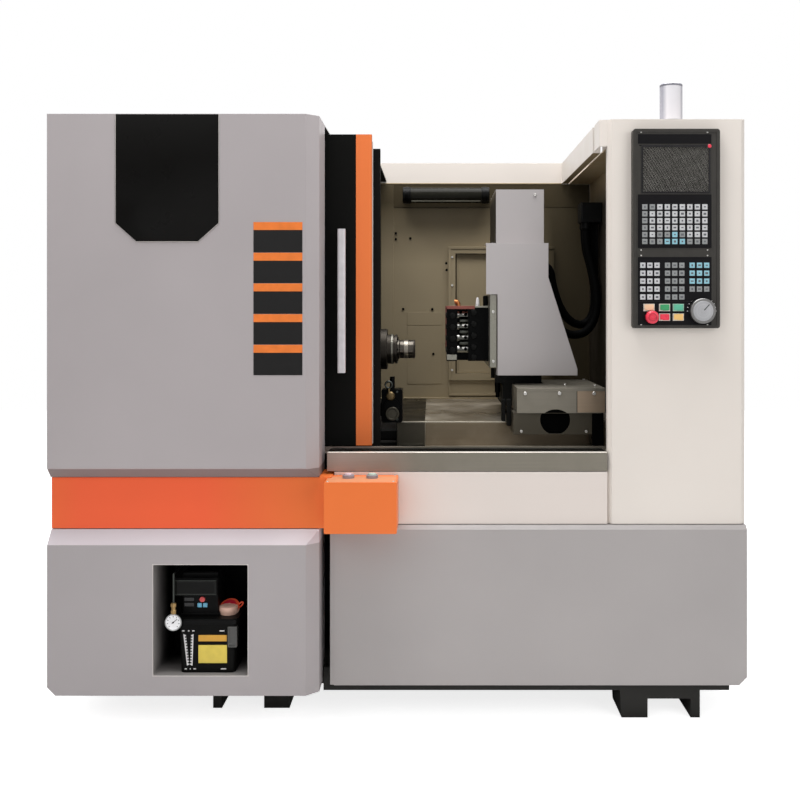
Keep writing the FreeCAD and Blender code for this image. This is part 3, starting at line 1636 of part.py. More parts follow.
def bent_tube(points, radius_of_tube):
    """Tube along straight runs joined by tangent arcs, each as large as its runs allow."""
    corners = [Vector(x, inset(d), z) for x, d, z in points]
    edges = []
    start = corners[0]
    for before, corner, after in zip(corners, corners[1:], corners[2:]):
        back = (before - corner).normalize()
        ahead = (after - corner).normalize()
        turn = math.pi - back.getAngle(ahead)
        reach = bend_share * min((corner - before).Length, (after - corner).Length)
        radius = reach / math.tan(turn / 2)
        bisector = (back + ahead).normalize()
        middle = corner + bisector * (radius / math.cos(turn / 2) - radius)
        first = corner + back * reach
        last = corner + ahead * reach
        edges.append(Part.LineSegment(start, first).toShape())
        edges.append(Part.Arc(first, middle, last).toShape())
        start = last
    edges.append(Part.LineSegment(start, corners[-1]).toShape())
    path = Part.Wire(edges)
    heading = (corners[1] - corners[0]).normalize()
    section = faceted_circle(radius_of_tube, corners[0], heading)
    return path.makePipeShell([section], True, False)


def conduits():
    """The two cable conduits that loop from the column to the right wall."""
    return Part.makeCompound([bent_tube(points, conduit_radius)
                              for points in (upper_conduit_points, lower_conduit_points)])


def cable_box():
    """Junction box on the right wall, the guard below it and the glands of the conduits."""
    points = [upper_conduit_points[-1], lower_conduit_points[-1]]
    low = points[0][2] + gland_length
    insets = [d for x, d, z in points]
    margin = gland_radius + cable_box_margin
    body = round_block("xy", (points[0][0] - gland_radius - cable_box_side, inner_wall_x),
                       (inset(min(insets)) - margin, inset(max(insets)) + margin),
                       cable_box_corner, low, low + cable_box_height)
    guard = prism("xz", cable_guard, inset(cable_guard_inset), inset(cable_guard_inset) + cable_guard_sheet)
    top = gland_length + gland_lap
    glands = []
    for x, d, z in points:
        glands.append(turned([(0, 0), (0, conduit_radius + conduit_gap), (gland_collar, gland_radius),
                              (top, gland_radius), (top, 0)], (x, inset(d), z), "z"))
    return joined([body, guard] + glands)


# ---------------------------------------------------------------- rear cabinet

def rear_cabinet():
    """Full-width cabinet at the rear, with its door opening and louvres."""
    w = cabinet_wall
    low = base_top + seam
    shell = box((left_x, right_x), (cabinet_y, rear_y), (low, cover_top))
    inner = box((left_x + w, right_x - w), (cabinet_y + w, rear_y - w), (low + w, cover_top - w))
    half = cabinet_door_width / 2 - cabinet_door_overlap
    through = (rear_y - 2 * w, rear_y + w)
    opening = box((cabinet_door_x - half, cabinet_door_x + half), through,
                  (cabinet_door_bottom + cabinet_door_overlap, cabinet_door_top - cabinet_door_overlap))
    slots = []
    hoods = []
    mid = (cabinet_door_x + cabinet_door_width / 2 + right_x) / 2
    x = (mid - louvre_half_width, mid + louvre_half_width)
    for i in range(louvre_count):
        z = cover_top - louvre_from_top - i * louvre_pitch
        slots.append(box(x, through, (z, z + louvre_height)))
        hood = [(rear_y, z + louvre_height), (rear_y, z + louvre_hood), (rear_y + louvre_reach, z),
                (rear_y + louvre_reach - louvre_sheet, z)]
        hoods.append(prism("yz", hood, *x))
    knuckles = []
    for z in hinge_places():
        top = z + hinge_length / 2
        knuckles.append(rod("z", (hinge_x(), hinge_y(), z), hinge_radius, hinge_length / 2))
        knuckles.append(box((hinge_x() - 2 * hinge_radius, hinge_x()), (rear_y - w, hinge_y()), (z, top)))
    return joined([shell.cut([inner, opening] + slots)] + hoods + knuckles)


def hinge_x():
    """X of the cabinet door's hinge line."""
    return cabinet_door_x - cabinet_door_width / 2 - hinge_radius - seam


def hinge_y():
    """Y of the cabinet door's hinge line."""
    return rear_y + cabinet_door_thickness / 2


def hinge_places():
    """Lower ends of the three hinges."""
    span = cabinet_door_top - cabinet_door_bottom - 2 * hinge_length
    return [cabinet_door_bottom + hinge_length / 2 + span * i / 2 for i in range(3)]


def cabinet_door():
    """Hinged door of the rear cabinet, folded at its edges, with its upper knuckles and two locks."""
    x = (cabinet_door_x - cabinet_door_width / 2, cabinet_door_x + cabinet_door_width / 2)
    y = (rear_y + leaf_gap, rear_y + cabinet_door_thickness)
    z = (cabinet_door_bottom, cabinet_door_top)
    w = cabinet_wall
    leaf = box(x, y, z).cut(box((x[0] + w, x[1] - w), (y[0] - past, y[1] - w), (z[0] + w, z[1] - w)))
    knuckles = []
    for low in hinge_places():
        base = low + hinge_length / 2 + knuckle_gap
        top = base + hinge_length / 2
        knuckles.append(rod("z", (hinge_x(), hinge_y(), base), hinge_radius, hinge_length / 2))
        knuckles.append(box((hinge_x(), x[0] + w), (hinge_y() - w, hinge_y() + w), (base, top)))
    locks = []
    for share in lock_places:
        lock_z = z[0] + share * (z[1] - z[0])
        locks.append(rod("y", (x[1] - lock_from_edge, y[1] - w, lock_z), lock_radius, w + lock_proud))
    return joined([leaf] + knuckles + locks)


# ---------------------------------------------------------------- write every piece

os.makedirs("parts", exist_ok=True)

pieces = {
    "base_frame": base_frame,
    "bed_casting": bed_casting,
    "headstock": headstock,
    "spindle_motor": spindle_motor,
    "drive_belt": drive_belt,
    "upper_left_cover": upper_left_cover,
    "orange_band": orange_band,
    "lower_left_cover": lower_left_cover,
    "recess_liner": recess_liner,
    "left_side_panel": left_side_panel,
    "left_roof": left_roof,
    "rear_cabinet": rear_cabinet,
    "right_column_cover": right_column_cover,
    "front_sill": front_sill,
    "cream_front_panel": cream_front_panel,
    "lower_right_panel": lower_right_panel,
    "rear_wall": rear_wall,
    "roof_rails": roof_rails,
    "left_partition": left_partition,
    "right_inner_wall": right_inner_wall,
    "bed_cover": bed_cover,
    "work_lamp": work_lamp,
    "coolant_nozzle": coolant_nozzle,
    "z_servo": z_servo,
    "cable_box": cable_box,
    "lubricator_tank": lubricator_tank,
    "lubricator_head": lubricator_head,
    "filler_cap": filler_cap,
    "pressure_gauge": pressure_gauge,
    "control_case": control_case,
    "control_screen": control_screen,
    "signal_light": signal_light,
    "emergency_stop": emergency_stop,
    "handwheel": handwheel,
    "door_panel": door_panel,
    "door_roof": door_roof,
    "door_handle": door_handle,
    "spindle_shaft": spindle_shaft,
    "collet_chuck": collet_chuck,
    "spindle_pulley": spindle_pulley,
    "motor_pulley": motor_pulley,
    "saddle": saddle,
    "saddle_covers": saddle_covers,
    "column": column,
    "column_covers": column_covers,
    "x_servo": x_servo,
    "z_ball_screw": z_ball_screw,
    "slide_plate": slide_plate,
    "tool_block": tool_block,
    "tool_sleeves": tool_sleeves,
    "x_ball_screw": x_ball_screw,
    "conduits": conduits,
    "cabinet_door": cabinet_door,
}

for name, make in pieces.items():
    save(name, make())

for side, x in zip(("left", "right"), switch_places()):
    save("switch_button_" + side, switch_button(x))

for number, (x, z) in enumerate(push_places(), start=1):
    save("push_button_" + str(number), push_button(x, z))
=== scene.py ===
"""Looks of an enclosed gang-tool turning lathe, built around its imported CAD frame.

X runs to the right along the spindle, Y to the rear and Z up. Sizes in the classes are in
millimetres, as on the machine's drawings, and become metres when a piece is made.
"""

import logging
import math
from dataclasses import dataclass
from enum import Enum

import bpy
from mathutils import Matrix, Vector


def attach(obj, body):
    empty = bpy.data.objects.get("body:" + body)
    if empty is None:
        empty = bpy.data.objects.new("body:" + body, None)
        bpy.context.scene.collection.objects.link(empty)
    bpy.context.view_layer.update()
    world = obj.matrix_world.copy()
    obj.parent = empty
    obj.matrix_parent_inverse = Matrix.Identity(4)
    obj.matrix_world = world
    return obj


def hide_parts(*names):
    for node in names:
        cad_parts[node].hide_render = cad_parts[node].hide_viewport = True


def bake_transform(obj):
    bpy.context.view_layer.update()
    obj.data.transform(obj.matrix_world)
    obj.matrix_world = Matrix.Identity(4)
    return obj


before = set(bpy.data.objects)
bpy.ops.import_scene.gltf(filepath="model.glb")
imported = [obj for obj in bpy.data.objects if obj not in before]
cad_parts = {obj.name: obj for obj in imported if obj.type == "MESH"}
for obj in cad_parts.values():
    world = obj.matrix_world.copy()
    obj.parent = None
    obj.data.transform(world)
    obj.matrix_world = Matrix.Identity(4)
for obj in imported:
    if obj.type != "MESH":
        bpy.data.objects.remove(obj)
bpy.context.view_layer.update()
log = logging.getLogger("lathe")

Colour = tuple[float, float, float]
Screen = tuple[int, int, int]
Span = tuple[float, float]
Point = tuple[float, float, float]
METRE = 0.001


# ------------------------------------------------------------------ materials

class Recipe:
    """A material while its nodes are laid out."""

    def __init__(self, name: str) -> None:
        """Start an empty material.

        Args:
            name: name of the material.
        """
        self.material = bpy.data.materials.new(name)
        self.material.use_nodes = True
        self.tree = self.material.node_tree
        self.tree.nodes.clear()
        self.shader = self.node("ShaderNodeBsdfPrincipled")
        output = self.node("ShaderNodeOutputMaterial")
        self.join(self.shader.outputs[0], output.inputs[0])
        self.place = self.node("ShaderNodeTexCoord").outputs["Object"]

    def node(self, kind: str, **settings: object) -> bpy.types.Node:
        """Add a node.

        Args:
            kind: Blender's name of the node type.
            settings: properties to set on it.

        Returns:
            The new node.
        """
        made = self.tree.nodes.new(kind)
        for key, value in settings.items():
            setattr(made, key, value)
        return made

    def join(self, source: bpy.types.NodeSocket, target: bpy.types.NodeSocket) -> None:
        """Link two sockets."""
        self.tree.links.new(source, target)

    def set(self, **values: object) -> None:
        """Set constants on the shader; an underscore stands for a space in a socket's name."""
        for key, value in values.items():
            self.shader.inputs[key.replace("_", " ")].default_value = value

    def stretched(self, scale: Point, centre: Point = (0.0, 0.0, 0.0)) -> bpy.types.NodeSocket:
        """Object coordinates moved to a centre and then scaled on each axis.

        Args:
            scale: factor on each axis.
            centre: place of the new origin, in millimetres.

        Returns:
            The coordinate socket.
        """
        mapping = self.node("ShaderNodeMapping")
        mapping.inputs["Scale"].default_value = scale
        mapping.inputs["Location"].default_value = [-c * METRE * s for c, s in zip(centre, scale)]
        self.join(self.place, mapping.inputs["Vector"])
        return mapping.outputs[0]

    def noise(self, scale: float, detail: float = 2.0,
              place: bpy.types.NodeSocket | None = None) -> bpy.types.NodeSocket:
        """Noise on the object's own coordinates.

        Args:
            scale: grains a metre.
            detail: octaves.
            place: other coordinates to read.

        Returns:
            The value socket, about 0.3 to 0.7.
        """
        made = self.node("ShaderNodeTexNoise")
        made.inputs["Scale"].default_value = scale
        made.inputs["Detail"].default_value = detail
        self.join(place or self.place, made.inputs["Vector"])
        return made.outputs[0]

    def ranged(self, value: bpy.types.NodeSocket, source: Span, target: Span) -> bpy.types.NodeSocket:
        """Map one range of values onto another, clamped."""
        made = self.node("ShaderNodeMapRange")
        self.join(value, made.inputs["Value"])
        for key, number in zip(("From Min", "From Max", "To Min", "To Max"), source + target):
            made.inputs[key].default_value = number
        return made.outputs[0]

    def maths(self, operation: str, first: bpy.types.NodeSocket,
              second: bpy.types.NodeSocket | float) -> bpy.types.NodeSocket:
        """Combine two values by one of Blender's Math operations."""
        made = self.node("ShaderNodeMath", operation=operation)
        self.join(first, made.inputs[0])
        if isinstance(second, (int, float)):
            made.inputs[1].default_value = second
        else:
            self.join(second, made.inputs[1])
        return made.outputs[0]

    def mixed(self, factor: bpy.types.NodeSocket, low: Colour | bpy.types.NodeSocket,
              high: Colour | bpy.types.NodeSocket) -> bpy.types.NodeSocket:
        """Mix two colours, each given as numbers or as a socket."""
        made = self.node("ShaderNodeMix", data_type="RGBA")
        self.join(factor, made.inputs[0])
        for slot, colour in ((6, low), (7, high)):
            if isinstance(colour, tuple):
                made.inputs[slot].default_value = (*colour, 1.0)
            else:
                self.join(colour, made.inputs[slot])
        return made.outputs[2]

    def axis(self, letter: str) -> bpy.types.NodeSocket:
        """One object coordinate, in metres."""
        made = self.node("ShaderNodeSeparateXYZ")
        self.join(self.place, made.inputs[0])
        return made.outputs["XYZ".index(letter)]

    def within(self, area: "Field") -> bpy.types.NodeSocket:
        """One inside a field and zero outside it, over its soft border."""
        value = self.axis(area.letter)
        soft = area.soft * METRE
        above = self.ranged(value, (area.low * METRE - soft, area.low * METRE + soft), (0.0, 1.0))
        below = self.ranged(value, (area.high * METRE - soft, area.high * METRE + soft), (1.0, 0.0))
        return self.maths("MULTIPLY", above, below)

    def relief(self, height: bpy.types.NodeSocket, depth: float, edge: float = 0.0) -> None:
        """Give the surface a bump, over edges that are rounded in the shading.

        Args:
            height: bump height, 0 to 1.
            depth: depth of the bump in millimetres.
            edge: radius of the rounded edges in millimetres.
        """
        bump = self.node("ShaderNodeBump")
        bump.inputs["Strength"].default_value = 1.0
        bump.inputs["Distance"].default_value = depth * METRE
        self.join(height, bump.inputs["Height"])
        if edge:
            rounded = self.node("ShaderNodeBevel", samples=4)
            rounded.inputs["Radius"].default_value = edge * METRE
            self.join(rounded.outputs[0], bump.inputs["Normal"])
        self.join(bump.outputs[0], self.shader.inputs["Normal"])


def linear(colour: Screen, factor: float = 1.0) -> Colour:
    """Linear colour from the 0 to 255 numbers that a screen shows, lighter or darker by a factor."""
    plain = (((v / 255 + 0.055) / 1.055) ** 2.4 if v > 10 else v / 255 / 12.92 for v in colour)
    return tuple(min(1.0, value * factor) for value in plain)


@dataclass(frozen=True)
class Field:
    """Area of a piece in another colour, bounded on one axis, in millimetres; used for two-tone paint and for
    painted light and shade.
    """

    letter: str
    low: float
    high: float
    colour: Screen
    soft: float = 0.05


@dataclass(frozen=True)
class PowderCoat:
    """Powder coat on folded sheet, with faint clouding, orange peel and rounded folds, and up to two fields of
    other colour, which some finishes use for painted light and shade.
    """

    slot: str
    colour: Screen
    roughness: float = 0.42
    clouding: float = 0.035
    peel: float = 0.05
    edge: float = 1.6
    specular: float = 0.4
    field: Field | None = None
    # second field: OLIVE lays painted shade towards the top with it
    shade: Field | None = None

    def material(self, name: str) -> bpy.types.Material:
        """Lay out the coat.

        Args:
            name: name of the material.

        Returns:
            The finished material.
        """
        recipe = Recipe(name)
        cloud = recipe.ranged(recipe.noise(2.2, 3.0), (0.32, 0.68), (0.0, 1.0))
        colour = recipe.mixed(cloud, linear(self.colour, 1 - self.clouding),
                              linear(self.colour, 1 + self.clouding))
        for field in (self.shade, self.field):
            if field:
                other = recipe.mixed(cloud, linear(field.colour, 0.96), linear(field.colour, 1.04))
                colour = recipe.mixed(recipe.within(field), colour, other)
        specks = recipe.ranged(recipe.noise(1400.0, 1.0), (0.66, 0.74), (0.0, 0.25))
        colour = recipe.mixed(specks, colour, linear(self.colour, 0.8))
        recipe.join(colour, recipe.shader.inputs["Base Color"])
        worn = recipe.ranged(recipe.noise(14.0, 4.0), (0.3, 0.7),
                             (self.roughness - 0.05, self.roughness + 0.07))
        recipe.join(worn, recipe.shader.inputs["Roughness"])
        recipe.set(Specular_IOR_Level=self.specular)
        recipe.relief(recipe.noise(620.0, 2.0), self.peel, self.edge)
        return recipe.material


@dataclass(frozen=True)
class BrushedMetal:
    """Bare metal with fine lines along one axis, smudged where it is handled."""

    slot: str
    colour: Screen
    roughness: float = 0.3
    grain: Point = (8.0, 900.0, 900.0)
    depth: float = 0.015
    stain: Screen | None = None
    contrast: float = 0.09
    metal: float = 1.0
    field: Field | None = None

    def material(self, name: str) -> bpy.types.Material:
        """Lay out the metal.

        Args:
            name: name of the material.

        Returns:
            The finished material.
        """
        recipe = Recipe(name)
        lines = recipe.noise(1.0, 3.0, recipe.stretched(self.grain))
        tone = recipe.ranged(lines, (0.35, 0.65), (0.0, 1.0))
        low, high = 1 - self.contrast, 1 + self.contrast
        colour = recipe.mixed(tone, linear(self.colour, low), linear(self.colour, high))
        smudge = recipe.ranged(recipe.noise(9.0, 4.0), (0.45, 0.7), (0.0, 0.55))
        colour = recipe.mixed(smudge, colour, linear(self.stain) if self.stain else linear(self.colour, 0.8))
        if self.field:
            other = recipe.mixed(tone, linear(self.field.colour, low), linear(self.field.colour, high))
            colour = recipe.mixed(recipe.within(self.field), colour, other)
        recipe.join(colour, recipe.shader.inputs["Base Color"])
        recipe.set(Metallic=self.metal)
        rough = recipe.maths("ADD", recipe.ranged(lines, (0.3, 0.7), (-0.06, 0.06)),
                             recipe.ranged(smudge, (0.0, 0.55), (self.roughness, self.roughness + 0.16)))
        recipe.join(rough, recipe.shader.inputs["Roughness"])
        recipe.relief(lines, self.depth, 0.6)
        return recipe.material


@dataclass(frozen=True)
class TurnedMetal:
    """Metal turned on an axis: fine rings round it on every face."""

    slot: str
    colour: Screen
    centre: Point
    letter: str = "X"
    roughness: float = 0.24

    def material(self, name: str) -> bpy.types.Material:
        """Lay out the metal.

        Args:
            name: name of the material.

        Returns:
            The finished material.
        """
        recipe = Recipe(name)
        keep = [0.0 if axis == self.letter else 1.0 for axis in "XYZ"]
        away = recipe.node("ShaderNodeVectorMath", operation="LENGTH")
        recipe.join(recipe.stretched(tuple(keep), self.centre), away.inputs[0])
        rings = recipe.node("ShaderNodeCombineXYZ")
        recipe.join(recipe.axis(self.letter), rings.inputs[0])
        recipe.join(away.outputs["Value"], rings.inputs[1])
        cut = recipe.noise(1500.0, 2.0, rings.outputs[0])
        tone = recipe.ranged(cut, (0.35, 0.65), (0.0, 1.0))
        colour = recipe.mixed(tone, linear(self.colour, 0.82), linear(self.colour, 1.05))
        recipe.join(colour, recipe.shader.inputs["Base Color"])
        recipe.set(Metallic=1.0)
        rough = recipe.ranged(recipe.noise(30.0, 3.0), (0.3, 0.7),
                              (self.roughness - 0.06, self.roughness + 0.1))
        recipe.join(rough, recipe.shader.inputs["Roughness"])
        recipe.relief(cut, 0.02, 0.5)
        return recipe.material


@dataclass(frozen=True)
class Moulding:
    """Moulded plastic or rubber with a spark-eroded grain, and a glow that, where set, is painted light."""

    slot: str
    colour: Screen
    roughness: float = 0.5
    grain: float = 1300.0
    depth: float = 0.03
    gloss: float = 0.0
    specular: float = 0.4
    glow: float = 0.0

    def material(self, name: str) -> bpy.types.Material:
        """Lay out the plastic.

        Args:
            name: name of the material.

        Returns:
            The finished material.
        """
        recipe = Recipe(name)
        shade = recipe.ranged(recipe.noise(38.0, 3.0), (0.3, 0.7), (0.0, 1.0))
        colour = recipe.mixed(shade, linear(self.colour, 0.92), linear(self.colour, 1.07))
        recipe.join(colour, recipe.shader.inputs["Base Color"])
        rough = recipe.ranged(recipe.noise(95.0, 2.0), (0.3, 0.7),
                              (self.roughness - 0.05, self.roughness + 0.06))
        recipe.join(rough, recipe.shader.inputs["Roughness"])
        recipe.set(Coat_Weight=self.gloss, Coat_Roughness=0.08, Specular_IOR_Level=self.specular,
                   Emission_Strength=self.glow, Emission_Color=(*linear(self.colour), 1.0))
        recipe.relief(recipe.noise(self.grain, 2.0), self.depth, 0.4)
        return recipe.material


@dataclass(frozen=True)
class Glazing:
    """Glass or clear plastic with faint dust and smears."""

    slot: str
    colour: Screen
    transmission: float = 0.0
    roughness: float = 0.08
    coat: float = 0.3
    specular: float = 0.5
    glow: float = 0.0

    def material(self, name: str) -> bpy.types.Material:
        """Lay out the glass.

        Args:
            name: name of the material.

        Returns:
            The finished material.
        """
        recipe = Recipe(name)
        smear = recipe.ranged(recipe.noise(1.0, 4.0, recipe.stretched((26.0, 26.0, 70.0))),
                              (0.42, 0.68), (0.0, 1.0))
        colour = recipe.mixed(smear, linear(self.colour), linear(self.colour, 1.25))
        recipe.join(colour, recipe.shader.inputs["Base Color"])
        rough = recipe.ranged(smear, (0.0, 1.0), (self.roughness, self.roughness + 0.12))
        recipe.join(rough, recipe.shader.inputs["Roughness"])
        recipe.set(Transmission_Weight=self.transmission, IOR=1.49, Coat_Weight=self.coat,
                   Specular_IOR_Level=self.specular, Emission_Strength=self.glow,
                   Emission_Color=(*linear(self.colour), 1.0))
        recipe.relief(recipe.noise(60.0, 1.0), 0.01)
        return recipe.material




class Finish(Enum):
    """The finishes of the machine; the slot of each is its place in the record."""

    GREY = PowderCoat("grey_paint", (165, 160, 159))
    GREY_LIT = PowderCoat("grey_paint", (176, 171, 171), roughness=0.38)
    CREAM = PowderCoat("cream_paint", (226, 218, 210), roughness=0.36, clouding=0.02)
    ORANGE = PowderCoat("orange_paint", (236, 119, 55), roughness=0.38, clouding=0.025, specular=0.3,
                          field=Field("X", -1100.0, -420.0, (246, 100, 58), 160.0))
    BLACK = PowderCoat("black_paint", (14, 14, 13), roughness=0.5, clouding=0.08, specular=0.05)
    # olive paint with a painted shadow of the tower over X 490–900 and painted shade towards the top, Z 1530–1900
    OLIVE = PowderCoat("olive_paint", (160, 146, 119), roughness=0.42, clouding=0.06, specular=0.2,
                       field=Field("X", 490.0, 900.0, (66, 58, 42), 70.0),
                       shade=Field("Z", 1530.0, 1900.0, (70, 61, 43), 120.0))
    OLIVE_TRIM = PowderCoat("olive_paint", (162, 147, 118), roughness=0.42, clouding=0.06, specular=0.25)
    INFILL = PowderCoat("black_paint", (15, 14, 13), roughness=0.3, clouding=0.05, specular=0.07)
    # lighter copy of the grey paint on edges and returns: painted highlight
    PALE_EDGE_HIGHLIGHT = PowderCoat("grey_paint", (206, 200, 196), roughness=0.4, specular=0.3)
    STAINLESS = BrushedMetal("stainless", (178, 172, 158), 0.27, (6.0, 700.0, 700.0))
    # smudged stainless with painted shade over its left part, X −40 to 64
    STAINLESS_OILED_AND_SHADED = BrushedMetal("stainless", (158, 148, 132), 0.3, (3.0, 9.0, 9.0), 0.004,
                                   (214, 206, 192), 0.06, 0.7, Field("X", -40.0, 64.0, (30, 28, 23)))
    GROUND = BrushedMetal("ground_steel", (136, 134, 124), 0.3, (900.0, 12.0, 900.0), 0.01, metal=0.7)
    # bright polished steel laid only on the sleeves' tops: painted highlight
    POLISHED = BrushedMetal("polished_steel", (222, 220, 216), 0.13, (500.0, 500.0, 500.0), 0.006)
    SPINDLE = TurnedMetal("ground_steel", (78, 74, 68), (0.0, -150.0, 1099.0))
    # the handwheel's aluminium darkened: painted shade on its side ring
    WHEEL = TurnedMetal("aluminium", (116, 115, 114), (889.0, -630.0, 1230.0), "Y", 0.34)
    CASTING = PowderCoat("cast_iron", (118, 120, 118), 0.55, 0.1, 0.3, 2.5)
    BLACKENED = BrushedMetal("black_steel", (15, 15, 15), 0.38, (120.0, 120.0, 120.0), 0.02)
    FOOT_STEEL = PowderCoat("black_steel", (44, 43, 41), 0.5, 0.12, 0.12, 1.5, specular=0.15)
    ALUMINIUM = BrushedMetal("aluminium", (196, 194, 190), 0.32, (40.0, 600.0, 600.0))
    BRASS = BrushedMetal("polished_steel", (150, 122, 78), 0.34, (300.0, 300.0, 300.0), 0.01, metal=0.7)
    RED_OXIDE = BrushedMetal("cast_iron", (128, 70, 60), 0.5, (60.0, 500.0, 60.0), 0.03, metal=0.3)
    BLACK_PLASTIC = Moulding("black_plastic", (12, 12, 12), 0.45, specular=0.08)
    GLOSS_BLACK = Moulding("black_plastic", (9, 9, 8), 0.3, 400.0, 0.004, specular=0.08)
    SMOKED = Moulding("black_plastic", (20, 21, 19), 0.22, 300.0, 0.003, specular=0.15)
    PANEL_PLASTIC = Moulding("panel_plastic", (58, 56, 53), 0.5, 1600.0, 0.02, specular=0.15)
    PANEL_DARK = Moulding("panel_plastic", (34, 33, 34), 0.42, 1600.0, 0.012, specular=0.15)
    KEY_WHITE = Moulding("white_plastic", (196, 196, 198), 0.42, 1500.0, 0.01)
    KEY_GREY = Moulding("white_plastic", (140, 142, 142), 0.42, 1500.0, 0.01)
    KEY_BLUE = Moulding("white_plastic", (140, 190, 204), 0.42, 1500.0, 0.01)
    KEY_INK = Moulding("black_plastic", (92, 94, 98), 0.5, 1500.0, 0.01)
    RED_PLASTIC = Moulding("red_plastic", (226, 44, 70), 0.28, 700.0, 0.008, 0.3)
    AMBER_PLASTIC = Moulding("peach_plastic", (236, 190, 112), 0.34, 700.0, 0.01, 0.3)
    PEACH_PLASTIC = Moulding("peach_plastic", (242, 202, 164), 0.34, 700.0, 0.01, 0.2)
    GREEN_PLASTIC = Moulding("green_plastic", (46, 150, 92), 0.34, 700.0, 0.01, 0.3)
    TEAL_PLASTIC = Moulding("green_plastic", (88, 180, 146), 0.34, 700.0, 0.01, 0.3)
    MINT_PLASTIC = Moulding("green_plastic", (160, 196, 176), 0.4, 700.0, 0.01)
    BLUE_PLASTIC = Moulding("white_plastic", (112, 186, 218), 0.3, 700.0, 0.01, 0.3)
    WHITE_PLASTIC = Moulding("white_plastic", (232, 230, 230), 0.36, 900.0, 0.01)
    PALE_PLASTIC = Moulding("pale_plastic", (208, 205, 208), 0.38, 420.0, 0.05)
    OCHRE_FIELD = Moulding("pale_plastic", (214, 160, 56), 0.4, 900.0, 0.01)
    YELLOW_FIELD = Moulding("pale_plastic", (222, 198, 84), 0.4, 900.0, 0.01)
    ORANGE_FIELD = Moulding("orange_plastic", (236, 127, 58), 0.36, 900.0, 0.01, specular=0.2)
    DARK_FIELD = Moulding("black_plastic", (22, 21, 21), 0.34, 900.0, 0.008, specular=0.2)
    INK = Moulding("black_plastic", (38, 38, 40), 0.5, 900.0, 0.01)
    RUBBER = Moulding("rubber", (16, 16, 15), 0.62, 500.0, 0.06, specular=0.1)
    HOSE = Moulding("rubber", (6, 6, 6), 0.6, 220.0, 0.08, specular=0.03)
    SCREEN = Glazing("screen_glass", (146, 143, 137), roughness=0.3, coat=0.0, specular=0.2)
    LAMP_TUBE = Glazing("lamp_glass", (24, 23, 17), roughness=0.2, coat=0.0, specular=0.08)
    # pale line on the dark tube: painted highlight
    LAMP_STRIP = Glazing("lamp_glass", (96, 94, 84), roughness=0.3, coat=0.0, specular=0.1)
    DOOR = PowderCoat("black_paint", (13, 13, 12), 0.5, 0.08, specular=0.05,
                      field=Field("X", -148.0, -99.0, (232, 124, 70)))
    CREAM_LOW = PowderCoat("cream_paint", (222, 212, 205), roughness=0.36, clouding=0.02)
    SHADOW = Moulding("black_plastic", (6, 6, 6), 0.8, 300.0, 0.02, specular=0.02)
    # castings darkened far below the grey of CASTING: painted shade
    CASTING_PAINTED_SHADE = PowderCoat("cast_iron", (30, 30, 29), 0.6, 0.12, 0.3, 2.5, specular=0.1)
    NOSE_STEEL = BrushedMetal("cast_iron", (62, 58, 53), 0.38, (90.0, 300.0, 300.0), 0.02)
    SADDLE_STEEL = BrushedMetal("stainless", (122, 117, 106), 0.42, (3.0, 120.0, 120.0), 0.003,
                                (108, 103, 92), 0.03, 0.6, Field("Z", 800.0, 903.0, (70, 65, 54)))
    SILL_STEEL = BrushedMetal("stainless", (126, 121, 110), 0.4, (4.0, 300.0, 300.0), 0.004,
                              (116, 111, 100), 0.04, 0.6, Field("X", -300.0, -70.0, (158, 144, 136), 110.0))
    STAINLESS_DARK = BrushedMetal("stainless", (108, 97, 80), 0.4, (5.0, 300.0, 200.0), 0.004,
                                  (136, 125, 108), 0.04, 0.6)
    # olive paint darkened as painted shade; above 1660 mm it is close to the plain olive
    OLIVE_PAINTED_SHADE = PowderCoat("olive_paint", (50, 45, 38), roughness=0.5, clouding=0.1, specular=0.08,
                            field=Field("Z", 1660.0, 1900.0, (154, 137, 108), 50.0))
    # dark olive for seams and for the painted shadow beside the hatch leaf
    SEAM = PowderCoat("olive_paint", (70, 62, 48), roughness=0.6, clouding=0.1, specular=0.05)
    # dark stainless; on the bed cover's left leaf and the sill ledge it is painted shade
    DARK_STEEL_AND_PAINTED_SHADE = BrushedMetal("stainless", (62, 58, 48), 0.4, (5.0, 300.0, 200.0), 0.004,
                              (50, 46, 38), 0.04, 0.6)
    SADDLE_WARM = BrushedMetal("stainless", (150, 132, 112), 0.4, (3.0, 120.0, 120.0), 0.003,
                               (132, 116, 98), 0.03, 0.6)
    # the sleeves' polished steel darkened below their bright tops: painted shade
    SLEEVE = BrushedMetal("polished_steel", (88, 88, 84), 0.16, (500.0, 500.0, 500.0), 0.004)
    SLEEVE_BACK = BrushedMetal("ground_steel", (80, 82, 76), 0.4, (60.0, 400.0, 400.0), 0.03, metal=0.7)
    COPPER = BrushedMetal("polished_steel", (168, 108, 62), 0.34, (300.0, 300.0, 300.0), 0.01, metal=0.8)
    OLIVE_SHADE = PowderCoat("olive_paint", (60, 52, 36), roughness=0.42, clouding=0.06, specular=0.15,
                             field=Field("X", 560.0, 900.0, (66, 58, 42), 50.0))
    # lighter copy of the chuck's ground steel: painted highlight round its middle
    CHUCK_HIGHLIGHT = TurnedMetal("ground_steel", (138, 132, 122), (0.0, -150.0, 1099.0), "X", 0.36)
    DULL_BRASS = BrushedMetal("polished_steel", (96, 82, 58), 0.4, (300.0, 300.0, 300.0), 0.01)
